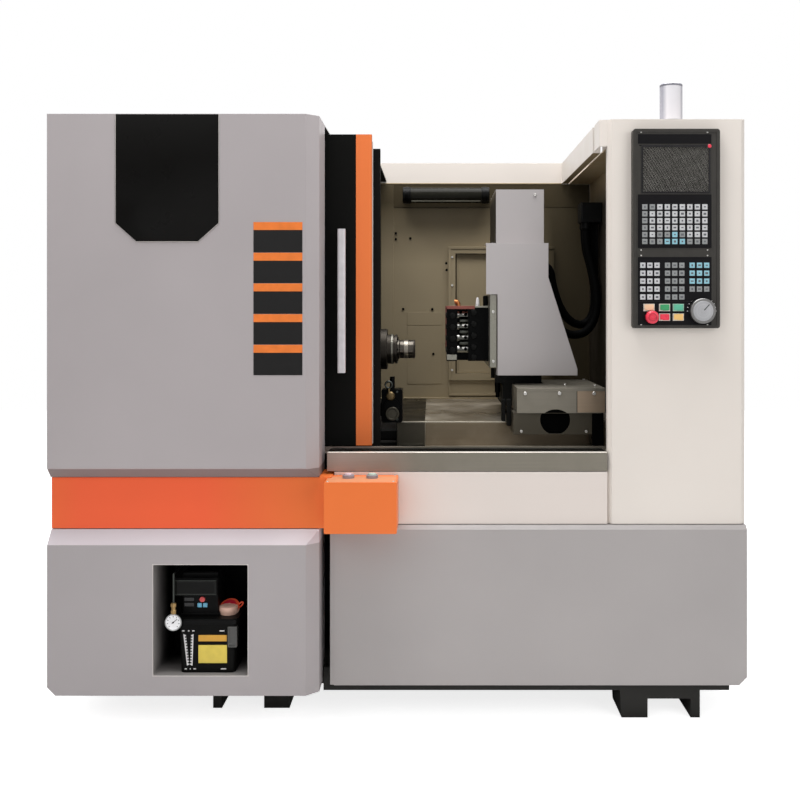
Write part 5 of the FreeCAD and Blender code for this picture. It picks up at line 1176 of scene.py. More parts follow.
@dataclass
class ControlStation(Assembly):
    """Control panel on the column: screen, membrane keys, buttons, wheel marks and beacon."""

    body: str = "root"
    face: float = -628.0
    front: float = -630.0
    key_wall: float = -629.7
    fields: tuple[tuple[Span, float], ...] = (((1417.0, 1575.9), -629.7), ((1259.5, 1390.3), -629.7),
                                              ((1187.0, 1258.5), -628.6))
    field_x: Span = (700.1, 918.3)
    caps: tuple[Span, ...] = ((733.0, 1240.5), (779.0, 1240.5), (820.0, 1240.5), (779.0, 1212.0),
                              (820.0, 1212.0))
    key_size: float = 15.6
    key_rise: float = 1.1
    screen_x: Span = (713.2, 912.2)
    screen_z: Span = (1582.4, 1719.0)
    bar_levels: Span = (1727.0, 1755.0)
    wheel_centre: Point = (889.0, -649.0, 1230.0)
    beacon_centre: Point = (839.0, -450.0, 1805.0)
    beacon_levels: Point = (16.0, 25.0, 137.0)
    upper_keys: KeyGrid = KeyGrid("upper", tuple(720.2 + 22.27 * i for i in range(9)),
                                  tuple(1539.1 - 20.55 * i for i in range(6)),
                                  ("GGWWWWWWW", "GWWWWWWWW", "GWWWWWWWW", "GWWWWWWWW", "GWGGBGWWW",
                                   "GGGBBBGGG"))
    lower_keys: KeyGrid = KeyGrid("lower", (714.3, 735.2, 756.4, 787.7, 808.9, 830.0, 860.8, 882.4, 903.8),
                                  tuple(1365.8 - 23.55 * i for i in range(5)),
                                  ("WWWGGGBBB", "WWWGGGBBB", "WWWGGGBBB", "WWWGGGGGG", "WWWGGG..."))
    stop_centre: Span = (740.0, 1212.0)
    tick_count: int = 13
    tick_step: int = 15
    pointer_turn: float = 42.0
    button_finishes: tuple[Finish, ...] = (Finish.PEACH_PLASTIC, Finish.GREEN_PLASTIC, Finish.TEAL_PLASTIC,
                                           Finish.RED_PLASTIC, Finish.AMBER_PLASTIC)

    def keys(self, grid: KeyGrid) -> None:
        """Membrane keys: one key made, copied over the grid, one piece for each colour.

        Args:
            grid: places and colours of the keys.
        """
        finishes = {"W": Finish.KEY_WHITE, "G": Finish.KEY_GREY, "B": Finish.KEY_BLUE}
        half = self.key_size / 2
        for letter, finish in finishes.items():
            places = [(x, z) for z, line in zip(grid.rows, grid.colours)
                      for x, colour in zip(grid.columns, line) if colour == letter]
            x0, z0 = places[0]
            name = f"{grid.name}_keys_{finish.name.lower()}"
            key = Bench.block(name, (x0 - half, x0 + half), (self.key_wall - self.key_rise,
                                                             self.key_wall + 0.4), (z0 - half, z0 + half),
                              0.6)
            moves = [(x - x0, 0.0, z - z0) for x, z in places[1:]]
            self.fit(Bench.spread(name, key, moves), finish)
        marks = []
        for row, (z, line) in enumerate(zip(grid.rows, grid.colours)):
            for column, (x, colour) in enumerate(zip(grid.columns, line)):
                if colour != ".":
                    wide, high = 2.4 + 0.9 * ((row + 2 * column) % 3), 3.2 - 0.7 * ((row + column) % 3)
                    marks.append(Bench.plate("key_mark", (x - wide, x + wide), (z - high, z + high),
                                             self.key_wall - self.key_rise, 0.15, 0.05))
        self.fit(Bench.gathered(f"{grid.name}_key_marks", marks), Finish.KEY_INK)

    def fields_behind(self) -> None:
        """Black fields behind the keys and round the buttons."""
        for number, (levels, wall) in enumerate(self.fields, start=1):
            self.fit(Bench.block(f"key_field_{number}", self.field_x, (wall, self.face + 0.4), levels, 0.3,
                                 1), Finish.PANEL_BLACK)

    def screen(self) -> None:
        """Bezel round the screen, its lit field and the plain bar above."""
        left, right = self.screen_x
        low, high = self.screen_z
        bezel = Bench.block("screen_bezel", (left - 3, right + 3), (self.front - 1.0, self.face + 1.0),
                            (low - 3, high + 3), 1.2)
        Bench.sunk(bezel, "Y", -1, 4.0, 2.6)
        self.fit(bezel, Finish.PANEL_DARK)
        self.fit(Bench.plate("screen_field", (left + 2, right - 2), (low + 2, high - 2), self.face + 0.4,
                             0.8), Finish.SCREEN)
        low, high = self.bar_levels
        self.fit(Bench.plate("header_bar", self.field_x, (low, high), self.face, 0.7), Finish.PANEL_BLACK)
        self.fit(Bench.plate("header_line", (704.0, 906.0), (1720.6, 1723.6), self.face, 0.5, 0.2),
                 Finish.PANEL_BLACK)
        self.fit(Bench.turned("power_lamp", [(3.0, 5.6), (-1.0, 5.6), (-2.0, 4.2)],
                              (912.5, self.front, 1719.5), "Y", 18, closed=True), Finish.RED_PLASTIC)

    def buttons(self) -> None:
        """Frames round the square buttons, the stop's collar and the wheel's marks."""
        frames, wells = [], []
        for number, (x, z) in enumerate(self.caps, start=1):
            finish = self.button_finishes[number - 1]
            self.fit(Bench.block(f"key_cap_{number}", (x - 13.6, x + 13.6),
                                 (self.face - 5.0, self.face - 3.7), (z - 7.6, z + 8.6), 0.6), finish,
                     f"key_{number}")
            rim = Bench.block("button_frame", (x - 16.6, x + 16.6), (self.face - 1.0, self.face + 1),
                              (z - 10.9, z + 10.9), 0.5)
            (wells if number == 3 else frames).append(rim)
        self.fit(Bench.gathered("button_frames", frames), Finish.PALE_FRAME)
        self.fit(Bench.gathered("mint_frame", wells), Finish.MINT_PLASTIC)
        stop_x, stop_z = self.stop_centre
        self.fit(Bench.turned("stop_collar", [(0.5, 15.0), (-2.0, 15.0), (-3.4, 13.6), (-3.6, 10.2)],
                              (stop_x, self.face, stop_z), "Y", 32), Finish.AMBER_PLASTIC)
        x, y, z = self.wheel_centre
        ticks = []
        for i in range(self.tick_count):
            tick = Bench.plate("wheel_tick", (x - 0.9, x + 0.9), (z + 40.5, z + 44.0), self.face - 0.5, 0.5,
                               0.15)
            ticks.append(Bench.tilted(tick, (x, self.face, z), "Y", -90 + self.tick_step * i))
        self.fit(Bench.gathered("wheel_ticks", ticks), Finish.WHITE_PLASTIC)
        # lighter face on the darker wheel: painted light
        self.fit(Bench.turned("wheel_face", [(0.5, 31.0), (-1.0, 31.0), (-2.4, 29.0), (-2.6, 10.0)],
                              (x, y, z), "Y", 48, closed=True), Finish.WHEEL_FACE, "pulse_wheel")
        pointer = Bench.plate("wheel_pointer", (x - 1.4, x + 1.4), (z + 3.0, z + 26.0), y - 2.5, 0.4, 0.2)
        self.fit(Bench.tilted(pointer, (x, y, z), "Y", self.pointer_turn), Finish.INK, "pulse_wheel")
        self.fit(Bench.ring("stop_ring", (stop_x, -650.6, stop_z), "Y", 12.0, 1.0, 28), Finish.DEEP_RED,
                 "stop_head")

    def frame(self) -> None:
        """Thin gasket behind the housing and the screws of its face."""
        self.fit(Bench.block("panel_gasket", (689.0, 940.0), (-602.0, -598.5), (1182.5, 1767.5), 0.8),
                 Finish.RUBBER)
        places = [(x, self.face, z) for x in (709.6, 906.7) for z in (1411.0, 1394.8)]
        places += [(x, self.face, z) for x in (709.6, 906.7) for z in (1188.5, 1761.0)]
        self.screws("panel_screws", places, "Y", -1, 2.2, Finish.ALUMINIUM)

    def beacon(self) -> None:
        """Rings of the signal light: grey foot ring and clear cap edge."""
        foot, groove, top = self.beacon_levels
        self.fit(Bench.turned("beacon_ring", [(0.0, 37.5), (4.0, 37.5), (5.0, 36.4), (5.0, 34.5)],
                              self.beacon_centre, "Z", 40), Finish.KEY_GREY)
        self.fit(Bench.turned("beacon_band", [(foot + 1, 33.2), (foot + 1, 35.2), (groove - 2.5, 35.2),
                                              (groove - 2.5, 33.2)], self.beacon_centre, "Z", 40),
                 Finish.KEY_GREY)
        self.fit(Bench.turned("beacon_cap", [(top - 10, 34.6), (top - 9, 35.4), (top - 4, 35.4),
                                             (top - 0.4, 32.4), (top - 0.1, 20.0)], self.beacon_centre, "Z",
                              40), Finish.BEACON_RIM)

    def build(self) -> None:
        """Dress the panel and the beacon and add their pieces."""
        Wardrobe.dress(control_case=Finish.PANEL_PLASTIC, control_screen=Finish.SCREEN,
                       signal_light=Finish.BEACON, emergency_stop=Finish.RED_PLASTIC,
                       handwheel=Finish.WHEEL)
        for number, finish in enumerate(self.button_finishes, start=1):
            Wardrobe.dress(**{f"push_button_{number}": finish})
        self.fields_behind()
        self.keys(self.upper_keys)
        self.keys(self.lower_keys)
        self.screen()
        self.buttons()
        self.frame()
        self.beacon()


# ------------------------------------------------------------------ work area

@dataclass
class WorkArea(Assembly):
    """Walls, roof rails, lamp and bed cover of the work area."""

    body: str = "root"
    wall: float = 330.0
    hatch_x: Span = (151.0, 560.0)
    hatch_z: Span = (960.0, 1478.0)
    hatch_count: int = 5
    hatch_pitch: float = 109.5
    frame_left: float = 140.0
    frame_depth: float = 18.5
    wall_holes: tuple[Span, ...] = ((-55.0, 1532.0), (-55.0, 1509.0), (2.0, 1512.0), (141.0, 1414.0),
                                    (142.5, 1388.0), (-26.0, 1237.0), (87.0, 1236.0), (91.0, 1062.0),
                                    (141.0, 1102.0))
    lamp_centre: Point = (140.0, 280.0, 1674.0)
    lamp_half: float = 166.0
    seam_x: float = 64.0
    cover_front: float = -250.0
    cover_levels: Span = (779.0, 861.0)
    soffit: float = 1725.0

    def lamp(self) -> None:
        """Rounded end caps and the glass tube of the lamp, with a pale strip along it that is a painted highlight.
        """
        x, y, z = self.lamp_centre
        half = self.lamp_half
        for side, start, sign in (("left", x - half, 1), ("right", x + half, -1)):
            profile = [(0.0, 16.0), (sign * 2.0, 24.0), (sign * 7.0, 31.0), (sign * 12.0, 32.3),
                       (sign * 27.0, 32.3), (sign * 28.0, 31.4), (sign * 30.0, 31.4), (sign * 31.0, 28.0)]
            self.fit(Bench.turned(f"lamp_cap_{side}", profile, (start, y, z), "X", 36, closed=True),
                     Finish.GLOSS_BLACK)
        self.fit(Bench.turned("lamp_tube", [(-half + 28.0, 29.2), (half - 28.0, 29.2)], (x, y, z), "X", 40,
                              closed=True), Finish.LAMP_TUBE)
        # pale strip on the tube's lower front: painted highlight
        self.fit(Bench.block("lamp_strip", (x - half + 34, x + half - 34), (y - 23.0, y - 17.0),
                             (z - 26.0, z - 22.0), 0.8), Finish.LAMP_STRIP)

    def hatch(self) -> None:
        """Frame, recessed leaf and edge bars of the hatch in the rear wall, and a dark line of painted shadow
        beside the leaf.
        """
        left, right = self.hatch_x
        low, high = self.hatch_z
        face = self.wall - 18.0
        leaf = Bench.block("hatch_leaf", (left + 27, right - 27), (self.wall - 4.0, self.wall + 0.5),
                           (low + 27, high - 27), 1.0)
        Bench.sunk(leaf, "Y", -1, 10.0, 1.5)
        self.fit(leaf, Finish.OLIVE)
        # dark line at the leaf's left edge: painted shadow of the recess
        self.fit(Bench.block("hatch_recess_shadow", (left + 26, left + 31), (self.wall - 5.0, self.wall - 3.0),
                             (low + 27, high - 27), 0.3), Finish.SEAM)
        fields = (((left - 1, right + 1), (high - 9, high + 1)), ((left - 1, left + 9), (low, high - 9)))
        rails = [Bench.block("hatch_rail", x, (face - 2.5, face + 1), z, 1.2) for x, z in fields]
        self.fit(Bench.gathered("hatch_rails", rails), Finish.OLIVE)
        skirt = Bench.block("hatch_skirt", (left - 1, right + 1), (self.wall - 12.0, self.wall + 0.5),
                            (900.0, low - 1), 1.2)
        Bench.sunk(skirt, "Y", -1, 9.0, 3.0)
        self.fit(skirt, Finish.OLIVE)
        places = [(left + 13, face, low + 40 + i * self.hatch_pitch) for i in range(self.hatch_count)]
        self.screws("hatch_screws", places, "Y", -1, 4.5, Finish.ALUMINIUM)

    def wall_trim(self) -> None:
        """Screws, strips, seams, cover plates and ledge of the rear wall, and a header plate in painted shade."""
        face = self.wall
        places = [(x, face - self.frame_depth if x > self.frame_left else face, z) for x, z in self.wall_holes]
        self.screws("wall_screws", places, "Y", -1, 4.8, Finish.BLACKENED)
        self.fit(Bench.block("wall_strip", (-117.5, -64.0), (face - 3.0, face + 0.5), (889.0, 1720.0), 1.0),
                 Finish.OLIVE)
        # darker header plate along the wall's top: painted shade under the rear beam
        self.fit(Bench.block("wall_header", (-117.0, 697.0), (face - 1.4, face + 0.5), (1633.0, 1722.0), 0.5,
                             1), Finish.OLIVE_SHADE)
        seams = [Bench.block("wall_seam", (-64.0, 150.0), (face - 0.8, face + 0.5), (1631.0, 1633.6), 0.3),
                 Bench.block("wall_seam", (-114.6, -112.0), (face - 3.8, face + 0.5), (892.0, 1720.0), 0.3)]
        self.fit(Bench.gathered("wall_seams", seams), Finish.SEAM)
        covers = [Bench.block("wall_cover", (-11.6, 124.8), (face - 1.2, face + 0.5), levels, 0.5, 1)
                  for levels in ((1173.0, 1225.0), (944.7, 1170.7))]
        self.fit(Bench.gathered("wall_covers", covers), Finish.OLIVE)
        self.fit(Bench.block("wall_ledge", (-117.0, 698.0), (face - 12.0, face + 0.5), (887.0, 893.0), 1.4),
                 Finish.OLIVE_TRIM)

    def bed_cover(self) -> None:
        """Fold line, left leaf darkened with painted shade, and right panel of the bed cover."""
        low, high = self.cover_levels
        face = self.cover_front
        self.fit(Bench.block("cover_edge", (-29.5, 697.5), (face - 0.8, face + 7.0), (high - 3.4, high + 0.9),
                             0.8), Finish.STAINLESS)
        # dark left leaf of the bed cover: painted shade
        leaf = Bench.block("cover_leaf", (-29.5, self.seam_x), (face - 1.6, face + 0.5), (low + 2, high - 4),
                           0.8)
        Bench.sunk(leaf, "Y", -1, 5.0, 0.8)
        self.fit(leaf, Finish.DARK_STEEL_AND_PAINTED_SHADE)
        self.fit(Bench.block("cover_panel", (self.seam_x + 1.5, 697.0), (face - 1.4, face + 0.5),
                             (low + 2, high - 4), 0.8), Finish.STAINLESS_DARK)

    def rails(self) -> None:
        """Bolt heads and underside of the roof rails and the seal along the rear beam."""
        heads = [(604.0, y, 1805.0) for y in (-400.0, -60.0, 270.0)]
        self.screws("rail_bolts", heads, "Z", 1, 5.0, Finish.ALUMINIUM)
        self.fit(Bench.block("rail_soffit", (592.6, 615.6), (-456.0, 329.0),
                             (self.soffit - 0.8, self.soffit + 1.0), 0.4, 1), Finish.OLIVE_PAINTED_SHADE)
        self.fit(Bench.block("beam_seal", (-117.0, 590.0), (327.0, 330.5), (1722.5, 1727.0), 1.2),
                 Finish.OLIVE_PAINTED_SHADE)

    def build(self) -> None:
        """Dress the walls and the lamp and add their pieces."""
        # the right inner wall wears olive darkened as painted shade
        Wardrobe.dress(rear_wall=Finish.OLIVE, left_partition=Finish.BLACK, right_inner_wall=Finish.OLIVE_PAINTED_SHADE,
                       roof_rails=Finish.CREAM, bed_cover=Finish.STAINLESS_OILED_AND_SHADED,
                       work_lamp=Finish.GLOSS_BLACK, cable_box=Finish.BLACK_PLASTIC)
        self.lamp()
        self.hatch()
        self.wall_trim()
        self.bed_cover()
        self.rails()


@dataclass
class SpindleLine(Assembly):
    """Spindle, chuck and the coolant fittings beside them."""

    body: str = "spindle"
    axis: Point = (0.0, -150.0, 1099.0)
    nose_front: float = -66.0
    chuck_span: Span = (-30.7, 29.3)
    bolt_circle: float = 42.0
    bolt_count: int = 6
    block_front: float = -325.0

    def nose(self) -> None:
        """Ring of cap screws in the flange, the nose's rim and the bands of the chuck, the middle one lighter as a
        painted highlight.
        """
        x, y, z = self.axis
        places = []
        for i in range(self.bolt_count):
            turn = 2 * math.pi * i / self.bolt_count
            places.append((self.chuck_span[0] - 0.4, y + self.bolt_circle * math.cos(turn),
                           z + self.bolt_circle * math.sin(turn)))
        self.screws("flange_screws", places, "X", 1, 4.0, Finish.BLACKENED, "spindle")
        self.fit(Bench.turned("nose_rim", [(self.nose_front - 6.0, 69.4), (self.nose_front - 0.6, 69.4),
                                           (self.nose_front + 0.8, 67.8), (self.nose_front + 0.8, 60.0)],
                              (0.0, y, z), "X", 56), Finish.NOSE_STEEL, "root")
        self.fit(Bench.turned("flange_band", [(-52.0, 50.5), (-51.0, 51.2), (-47.0, 51.2), (-46.0, 50.5),
                                              (-46.0, 49.0), (-52.0, 49.0)], (0.0, y, z), "X", 56),
                 Finish.GROUND)
        # lighter band round the chuck's middle: painted highlight
        self.fit(Bench.turned("chuck_highlight_band", [(-9.0, 31.0), (-8.0, 31.6), (5.0, 31.6), (6.0, 31.0),
                                             (6.0, 30.0), (-9.0, 30.0)], (0.0, y, z), "X", 48),
                 Finish.CHUCK_HIGHLIGHT)
        self.fit(Bench.turned("chuck_ring", [(22.5, 31.2), (23.2, 31.9), (27.0, 31.9), (28.8, 30.4),
                                             (29.6, 27.0), (29.6, 15.4)], (0.0, y, z), "X", 48),
                 Finish.NOSE_STEEL)

    def coolant(self) -> None:
        """Fittings in front of the coolant block: ring, stem, tap, disc and screws."""
        face = self.block_front
        self.fit(Bench.ring("coolant_ring", (-53.0, face - 14.0, 990.0), "Y", 14.0, 3.2), Finish.GAUGE_CASE,
                 "root")
        self.fit(Bench.bar("coolant_stem", [(-53.0, face - 14.0, 978.0), (-52.0, face - 14.0, 960.0)], 5.0),
                 Finish.DULL_BRASS, "root")
        self.fit(Bench.turned("coolant_tap", [(0.0, 12.0), (-3.0, 15.0), (-14.0, 15.0), (-18.0, 11.0),
                                              (-19.0, 5.0)], (-48.0, face, 953.0), "Y", 24, closed=True),
                 Finish.DULL_BRASS, "root")
        self.fit(Bench.turned("coolant_disc", [(-8.0, 22.0), (-16.0, 22.5), (-18.0, 21.0), (-18.0, 17.0),
                                               (-15.0, 15.0), (-15.0, 8.0)], (-41.0, face, 896.0), "Y", 36,
                              closed=True), Finish.DARK_STEEL_AND_PAINTED_SHADE, "root")
        self.screws("coolant_screws", [(-26.0, face, 966.0), (-26.0, face, 876.0)], "Y", -1, 4.0,
                    Finish.GAUGE_CASE, "root")

    def build(self) -> None:
        """Dress the spindle line and add its pieces."""
        # the bed casting wears cast iron darkened as painted shade
        Wardrobe.dress(headstock=Finish.NOSE_STEEL, spindle_motor=Finish.CASTING, drive_belt=Finish.RUBBER,
                       spindle_shaft=Finish.NOSE_STEEL, collet_chuck=Finish.SPINDLE,
                       spindle_pulley=Finish.CASTING, motor_pulley=Finish.CASTING,
                       bed_casting=Finish.CASTING_PAINTED_SHADE, coolant_nozzle=Finish.BLACKENED)
        self.nose()
        self.coolant()


# ------------------------------------------------------------------ carriage

@dataclass(frozen=True)
class Hose:
    """One cable conduit: its name, route and thickness."""

    name: str
    route: tuple[Point, ...]
    radius: float = 15.0


@dataclass
class Carriage(Assembly):
    """Saddle covers, column covers, tool block and the conduits that feed them."""

    body: str = "z_carriage"
    upper: Hose = Hose("hose_upper", (
        (468.0, 38.0, 1398.0), (510.0, 38.0, 1398.0), (522.0, 39.0, 1322.0), (548.0, 42.0, 1240.0),
        (592.0, 50.0, 1184.0), (646.0, 60.0, 1178.0), (678.0, 70.0, 1228.0), (682.0, 79.0, 1306.0),
        (668.0, 86.0, 1388.0), (645.0, 89.0, 1468.0), (645.0, 89.0, 1524.0)))
    lower: Hose = Hose("hose_lower", (
        (468.0, -10.0, 1172.0), (526.0, -10.0, 1172.0), (584.0, -6.0, 1140.0), (640.0, 3.0, 1152.0),
        (676.0, 16.0, 1208.0), (682.0, 28.0, 1288.0), (669.0, 41.0, 1374.0), (645.0, 49.0, 1462.0),
        (645.0, 49.0, 1524.0)))
    blend_span: Span = (500.0, 640.0)
    box_front: float = -400.0
    lower_front: float = -382.0
    port: Point = (483.0, -382.0, 881.0)
    block_front: float = -198.0
    sleeve_levels: tuple[float, ...] = (1099.0, 1138.0, 1177.0, 1216.0)
    sleeve_y: float = -150.0
    sleeve_bands: tuple[Span, ...] = ((174.0, 181.0), (190.0, 214.0))
    bolt_columns: Span = (157.0, 229.0)
    elbow_route: tuple[Point, ...] = ((178.0, -168.0, 1246.0), (178.0, -168.0, 1256.0),
                                      (172.0, -168.0, 1262.0), (164.0, -168.0, 1261.0))
    elbow_radius: float = 7.0

    @staticmethod
    def centre_line(hose: Hose) -> list[Point]:
        """Points of the hose's own soft curve, in metres."""
        line = bpy.data.curves.new(f"{hose.name}_line", "CURVE")
        line.dimensions = "3D"
        spline = line.splines.new("NURBS")
        spline.points.add(len(hose.route) - 1)
        for knot, place in zip(spline.points, hose.route):
            knot.co = (*[c * METRE for c in place], 1.0)
        spline.order_u = 3
        spline.use_endpoint_u = True
        spline.resolution_u = 8
        carrier = bpy.data.objects.new(f"{hose.name}_line", line)
        bpy.context.scene.collection.objects.link(carrier)
        read = bpy.data.meshes.new_from_object(carrier)
        points = [tuple(v.co) for v in read.vertices]
        bpy.data.objects.remove(carrier)
        bpy.data.meshes.remove(read)
        return points

    def hose(self, hose: Hose) -> None:
        """Smooth hose with its collar, bent between the carriage and the wall.

        Args:
            hose: its route and size.
        """
        points = self.centre_line(hose)
        tube = Bench.bar(hose.name, list(hose.route), hose.radius, True)
        tube.data.materials.clear()
        tube.data.materials.append(Wardrobe.material(Finish.HOSE))
        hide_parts("conduits")
        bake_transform(tube)
        x, y, z = hose.route[0]
        profile = [(-1.0, 15.0), (-1.0, 21.0), (5.0, 21.0), (6.0, 18.6), (17.0, 18.0), (18.0, 15.6)]
        self.fit(Bench.turned(f"{hose.name}_collar", profile, (x, y, z), "X", 28), Finish.BLACK_PLASTIC)

    def saddle(self) -> None:
        """Dark insides of the port and the notch, rims, seams, wipers and screws of the saddle covers."""
        x, y, z = self.port
        self.fit(Bench.block("port_inside", (x - 56, x + 56), (y + 9.0, y + 14.0), (838.0, 900.0), 2.0),
                 Finish.SHADOW)
        self.fit(Bench.block("box_corner", (603.0, 640.0), (-372.0, -300.0), (797.0, 902.0), 1.0),
                 Finish.BLACKENED)
        self.fit(Bench.block("notch_inside", (x - 42, x + 42), (self.box_front + 4.0, self.box_front + 9.0),
                             (904.5, 922.0), 1.0), Finish.SHADOW)
        self.fit(Bench.block("box_right", (551.4, 639.6), (self.box_front - 0.7, self.box_front + 1),
                             (906.0, 974.0), 0.3), Finish.SADDLE_WARM)
        self.fit(Bench.block("box_seam", (549.6, 551.4), (self.box_front - 0.6, self.box_front + 1),
                             (906.0, 981.0), 0.3), Finish.BLACKENED)
        self.fit(Bench.block("box_lap", (359.0, 640.0), (self.box_front - 0.9, self.box_front + 1),
                             (974.0, 983.4), 0.5), Finish.SADDLE_STEEL)
        slats = [Bench.block("wiper", (317.0, 330.0), (-292.0, -262.0), (866.0, 938.0), 2.0),
                 Bench.block("wiper", (334.0, 348.0), (-300.0, -262.0), (852.0, 938.0), 2.0)]
        self.fit(Bench.gathered("wipers", slats), Finish.RUBBER)
        front = [(x, self.box_front, 967.0) for x in (385.2, 494.6, 604.7)]
        self.screws("box_screws", front, "Y", -1, 6.0, Finish.ALUMINIUM)
        top = [(529.0, -267.0, 984.0), (628.0, -10.0, 984.0), (622.0, -308.0, 984.0)]
        self.screws("box_top_screws", top, "Z", 1, 4.6, Finish.ALUMINIUM)
        low = [(x, self.lower_front, 844.0) for x in (374.3, 582.5)]
        self.screws("lower_box_screws", low, "Y", -1, 4.6, Finish.ALUMINIUM)

    def column(self) -> None:
        """Side of the tower cover darkened with painted shade, its screw, the cable clip and the black casting's
        rib.
        """
        # dark sheet on the cover's left side: painted shade
        self.fit(Bench.block("tower_side_shade", (303.9, 305.4), (-178.0, 168.0), (1389.0, 1640.0), 0.4),
                 Finish.OLIVE_PAINTED_SHADE)
        self.screws("tower_screw", [(438.0, -180.0, 1624.0)], "Y", -1, 5.0, Finish.ALUMINIUM)
        self.fit(Bench.block("cable_clip", (468.5, 486.0), (-14.0, 16.0), (1338.0, 1366.0), 4.0),
                 Finish.BLACK_PLASTIC)
        self.fit(Bench.block("nut_guard", (306.0, 328.0), (-138.0, -112.0), (1300.0, 1372.0), 2.0),
                 Finish.BLACKENED)

    def tools(self) -> None:
        """Clamp bolts, sleeve tops brightened as painted highlight, edges and coolant jets of the tool block."""
        face = self.block_front
        left, right = self.bolt_columns
        heads = [(left, z - 3.0) for z in self.sleeve_levels] + [(right, z + 8.0) for z in self.sleeve_levels]
        heads += [(right, self.sleeve_levels[0] - 26.0)]
        head = Bench.turned("clamp_bolts", [(0.5, 11.0), (-3.0, 11.0), (-5.0, 9.4), (-6.4, 5.0)],
                            (heads[0][0], face, heads[0][1]), "Y", 24, closed=True)
        moves = [(x - heads[0][0], 0.0, z - heads[0][1]) for x, z in heads[1:]]
        self.fit(Bench.spread("clamp_bolts", head, moves), Finish.GLOSS_BLACK, "x_carriage")
        shine, bores, backs = [], [], []
        # bright half-rings on the upper half of each sleeve: painted highlight
        for z in self.sleeve_levels:
            for x0, x1 in self.sleeve_bands:
                ring = Bench.turned("sleeve_shine", [(0.0, 14.0), (0.0, 15.0), (x1 - x0, 15.0), (x1 - x0, 14.0)],
                                    (x0, self.sleeve_y, z), "X", 28)
                Bench.trimmed(ring, (x0, self.sleeve_y, z + 1.0), (0.0, 0.0, -1.0))
                shine.append(ring)
            bores.append(Bench.turned("sleeve_bore", [(0.0, 5.5), (-2.0, 5.5), (-2.4, 4.6)],
                                      (202.0, -164.0, z + 1.0), "Y", 20, closed=True))
        for z in self.sleeve_levels[:-1]:
            backs.append(Bench.block("sleeve_back", (180.0, 214.0), (-172.0, self.sleeve_y),
                                     (z + 15.0, z + 25.0), 4.0, 3))
        self.fit(Bench.gathered("sleeve_shine", shine), Finish.POLISHED, "x_carriage")
        self.fit(Bench.gathered("sleeve_bores", bores), Finish.SHADOW, "x_carriage")
        self.fit(Bench.gathered("sleeve_backs", backs), Finish.SLEEVE_BACK, "x_carriage")
        lip = [Bench.block("back_lip", (137.5, 232.0), (face - 1.2, -102.5), (1236.0, 1247.0), 1.0),
               Bench.block("back_lip", (133.5, 137.2), (-150.0, -102.5), (1100.0, 1247.0), 1.0)]
        self.fit(Bench.gathered("back_lip", lip), Finish.RED_OXIDE, "x_carriage")
        edges = [Bench.block("block_edge", (137.5, 171.0), (face - 1.2, face + 4.0), (1064.0, 1082.0), 0.8),
                 Bench.block("block_edge", (232.5, 278.0), (face - 1.2, face + 20.0), (1241.0, 1247.0), 0.8)]
        self.fit(Bench.gathered("block_edges", edges), Finish.GROUND, "x_carriage")
        self.fit(Bench.bar("coolant_elbow", list(self.elbow_route), self.elbow_radius, True), Finish.COPPER,
                 "x_carriage")
        self.fit(Bench.turned("tool_nozzle", [(-0.5, 7.0), (8.0, 7.0), (10.0, 6.4), (22.0, 5.4), (30.0, 3.4)],
                              (243.0, -168.0, 1246.0), "Z", 24, closed=True), Finish.WHITE_PLASTIC,
                 "x_carriage")
        self.fit(Bench.block("jet_valve", (262.0, 278.0), (-178.0, -150.0), (1246.0, 1282.0), 4.0),
                 Finish.BLACKENED, "x_carriage")
        strip = [(291.0, -260.0, 1226.4), (291.4, -260.0, 1062.0)]
        self.screws("slide_screws", strip, "Y", -1, 5.0, Finish.ALUMINIUM, "x_carriage")

    def build(self) -> None:
        """Lay the hoses, dress the carriage and add its pieces."""
        for hose in (self.upper, self.lower):
            self.hose(hose)
        # saddle and column castings wear cast iron darkened as painted shade
        Wardrobe.dress(saddle=Finish.CASTING_PAINTED_SHADE, saddle_covers=Finish.SADDLE_STEEL,
                       column=Finish.CASTING_PAINTED_SHADE, column_covers=Finish.GREY_LIT,
                       x_servo=Finish.BLACK_PLASTIC, slide_plate=Finish.GROUND, tool_block=Finish.BLACKENED,
                       tool_sleeves=Finish.SLEEVE, x_ball_screw=Finish.BLACKENED,
                       z_ball_screw=Finish.GROUND, z_servo=Finish.BLACK_PLASTIC)
        self.saddle()
        self.column()
        self.tools()


# ------------------------------------------------------------------ doors, front and rear

@dataclass
class SlidingDoor(Assembly):
    """Sliding door with its coloured leading edge and pull handle."""

    body: str = "door"
    front: float = -485.0
    right: float = -99.0
    levels: Span = (812.0, 1779.0)
    handle_x: float = -190.0
    handle_feet: Span = (1074.0, 1448.0)
    handle_bolts: Span = (-21.5, 21.5)

    def build(self) -> None:
        """Dress the door and add its seal, handle plates and screws."""
        Wardrobe.dress(door_panel=Finish.DOOR, door_roof=Finish.BLACK, door_handle=Finish.PALE_PLASTIC)
        low, high = self.levels
        # pale return at the door's leading edge: painted highlight
        self.fit(Bench.block("door_return", (self.right - 0.5, self.right + 3.0),
                             (self.front + 13.0, self.front + 21.0), (low + 4, high - 20), 1.0),
                 Finish.PALE_EDGE_HIGHLIGHT)
        self.fit(Bench.block("door_seal", (self.right - 47.0, self.right - 4.0),
                             (self.front + 18.0, self.front + 21.5), (low + 3.5, low + 14.0), 1.5),
                 Finish.RUBBER)
        plates = [Bench.block("handle_plate", (self.handle_x - 13, self.handle_x + 13),
                              (self.front - 2.4, self.front + 0.5), (z - 26, z + 26), 1.6)
                  for z in self.handle_feet]
        self.fit(Bench.gathered("handle_plates", plates), Finish.BLACK_PLASTIC)
        places = [(self.handle_x, self.front - 2.4, z + off)
                  for z in self.handle_feet for off in self.handle_bolts]
        self.screws("handle_screws", places, "Y", -1, 2.8, Finish.BLACKENED)


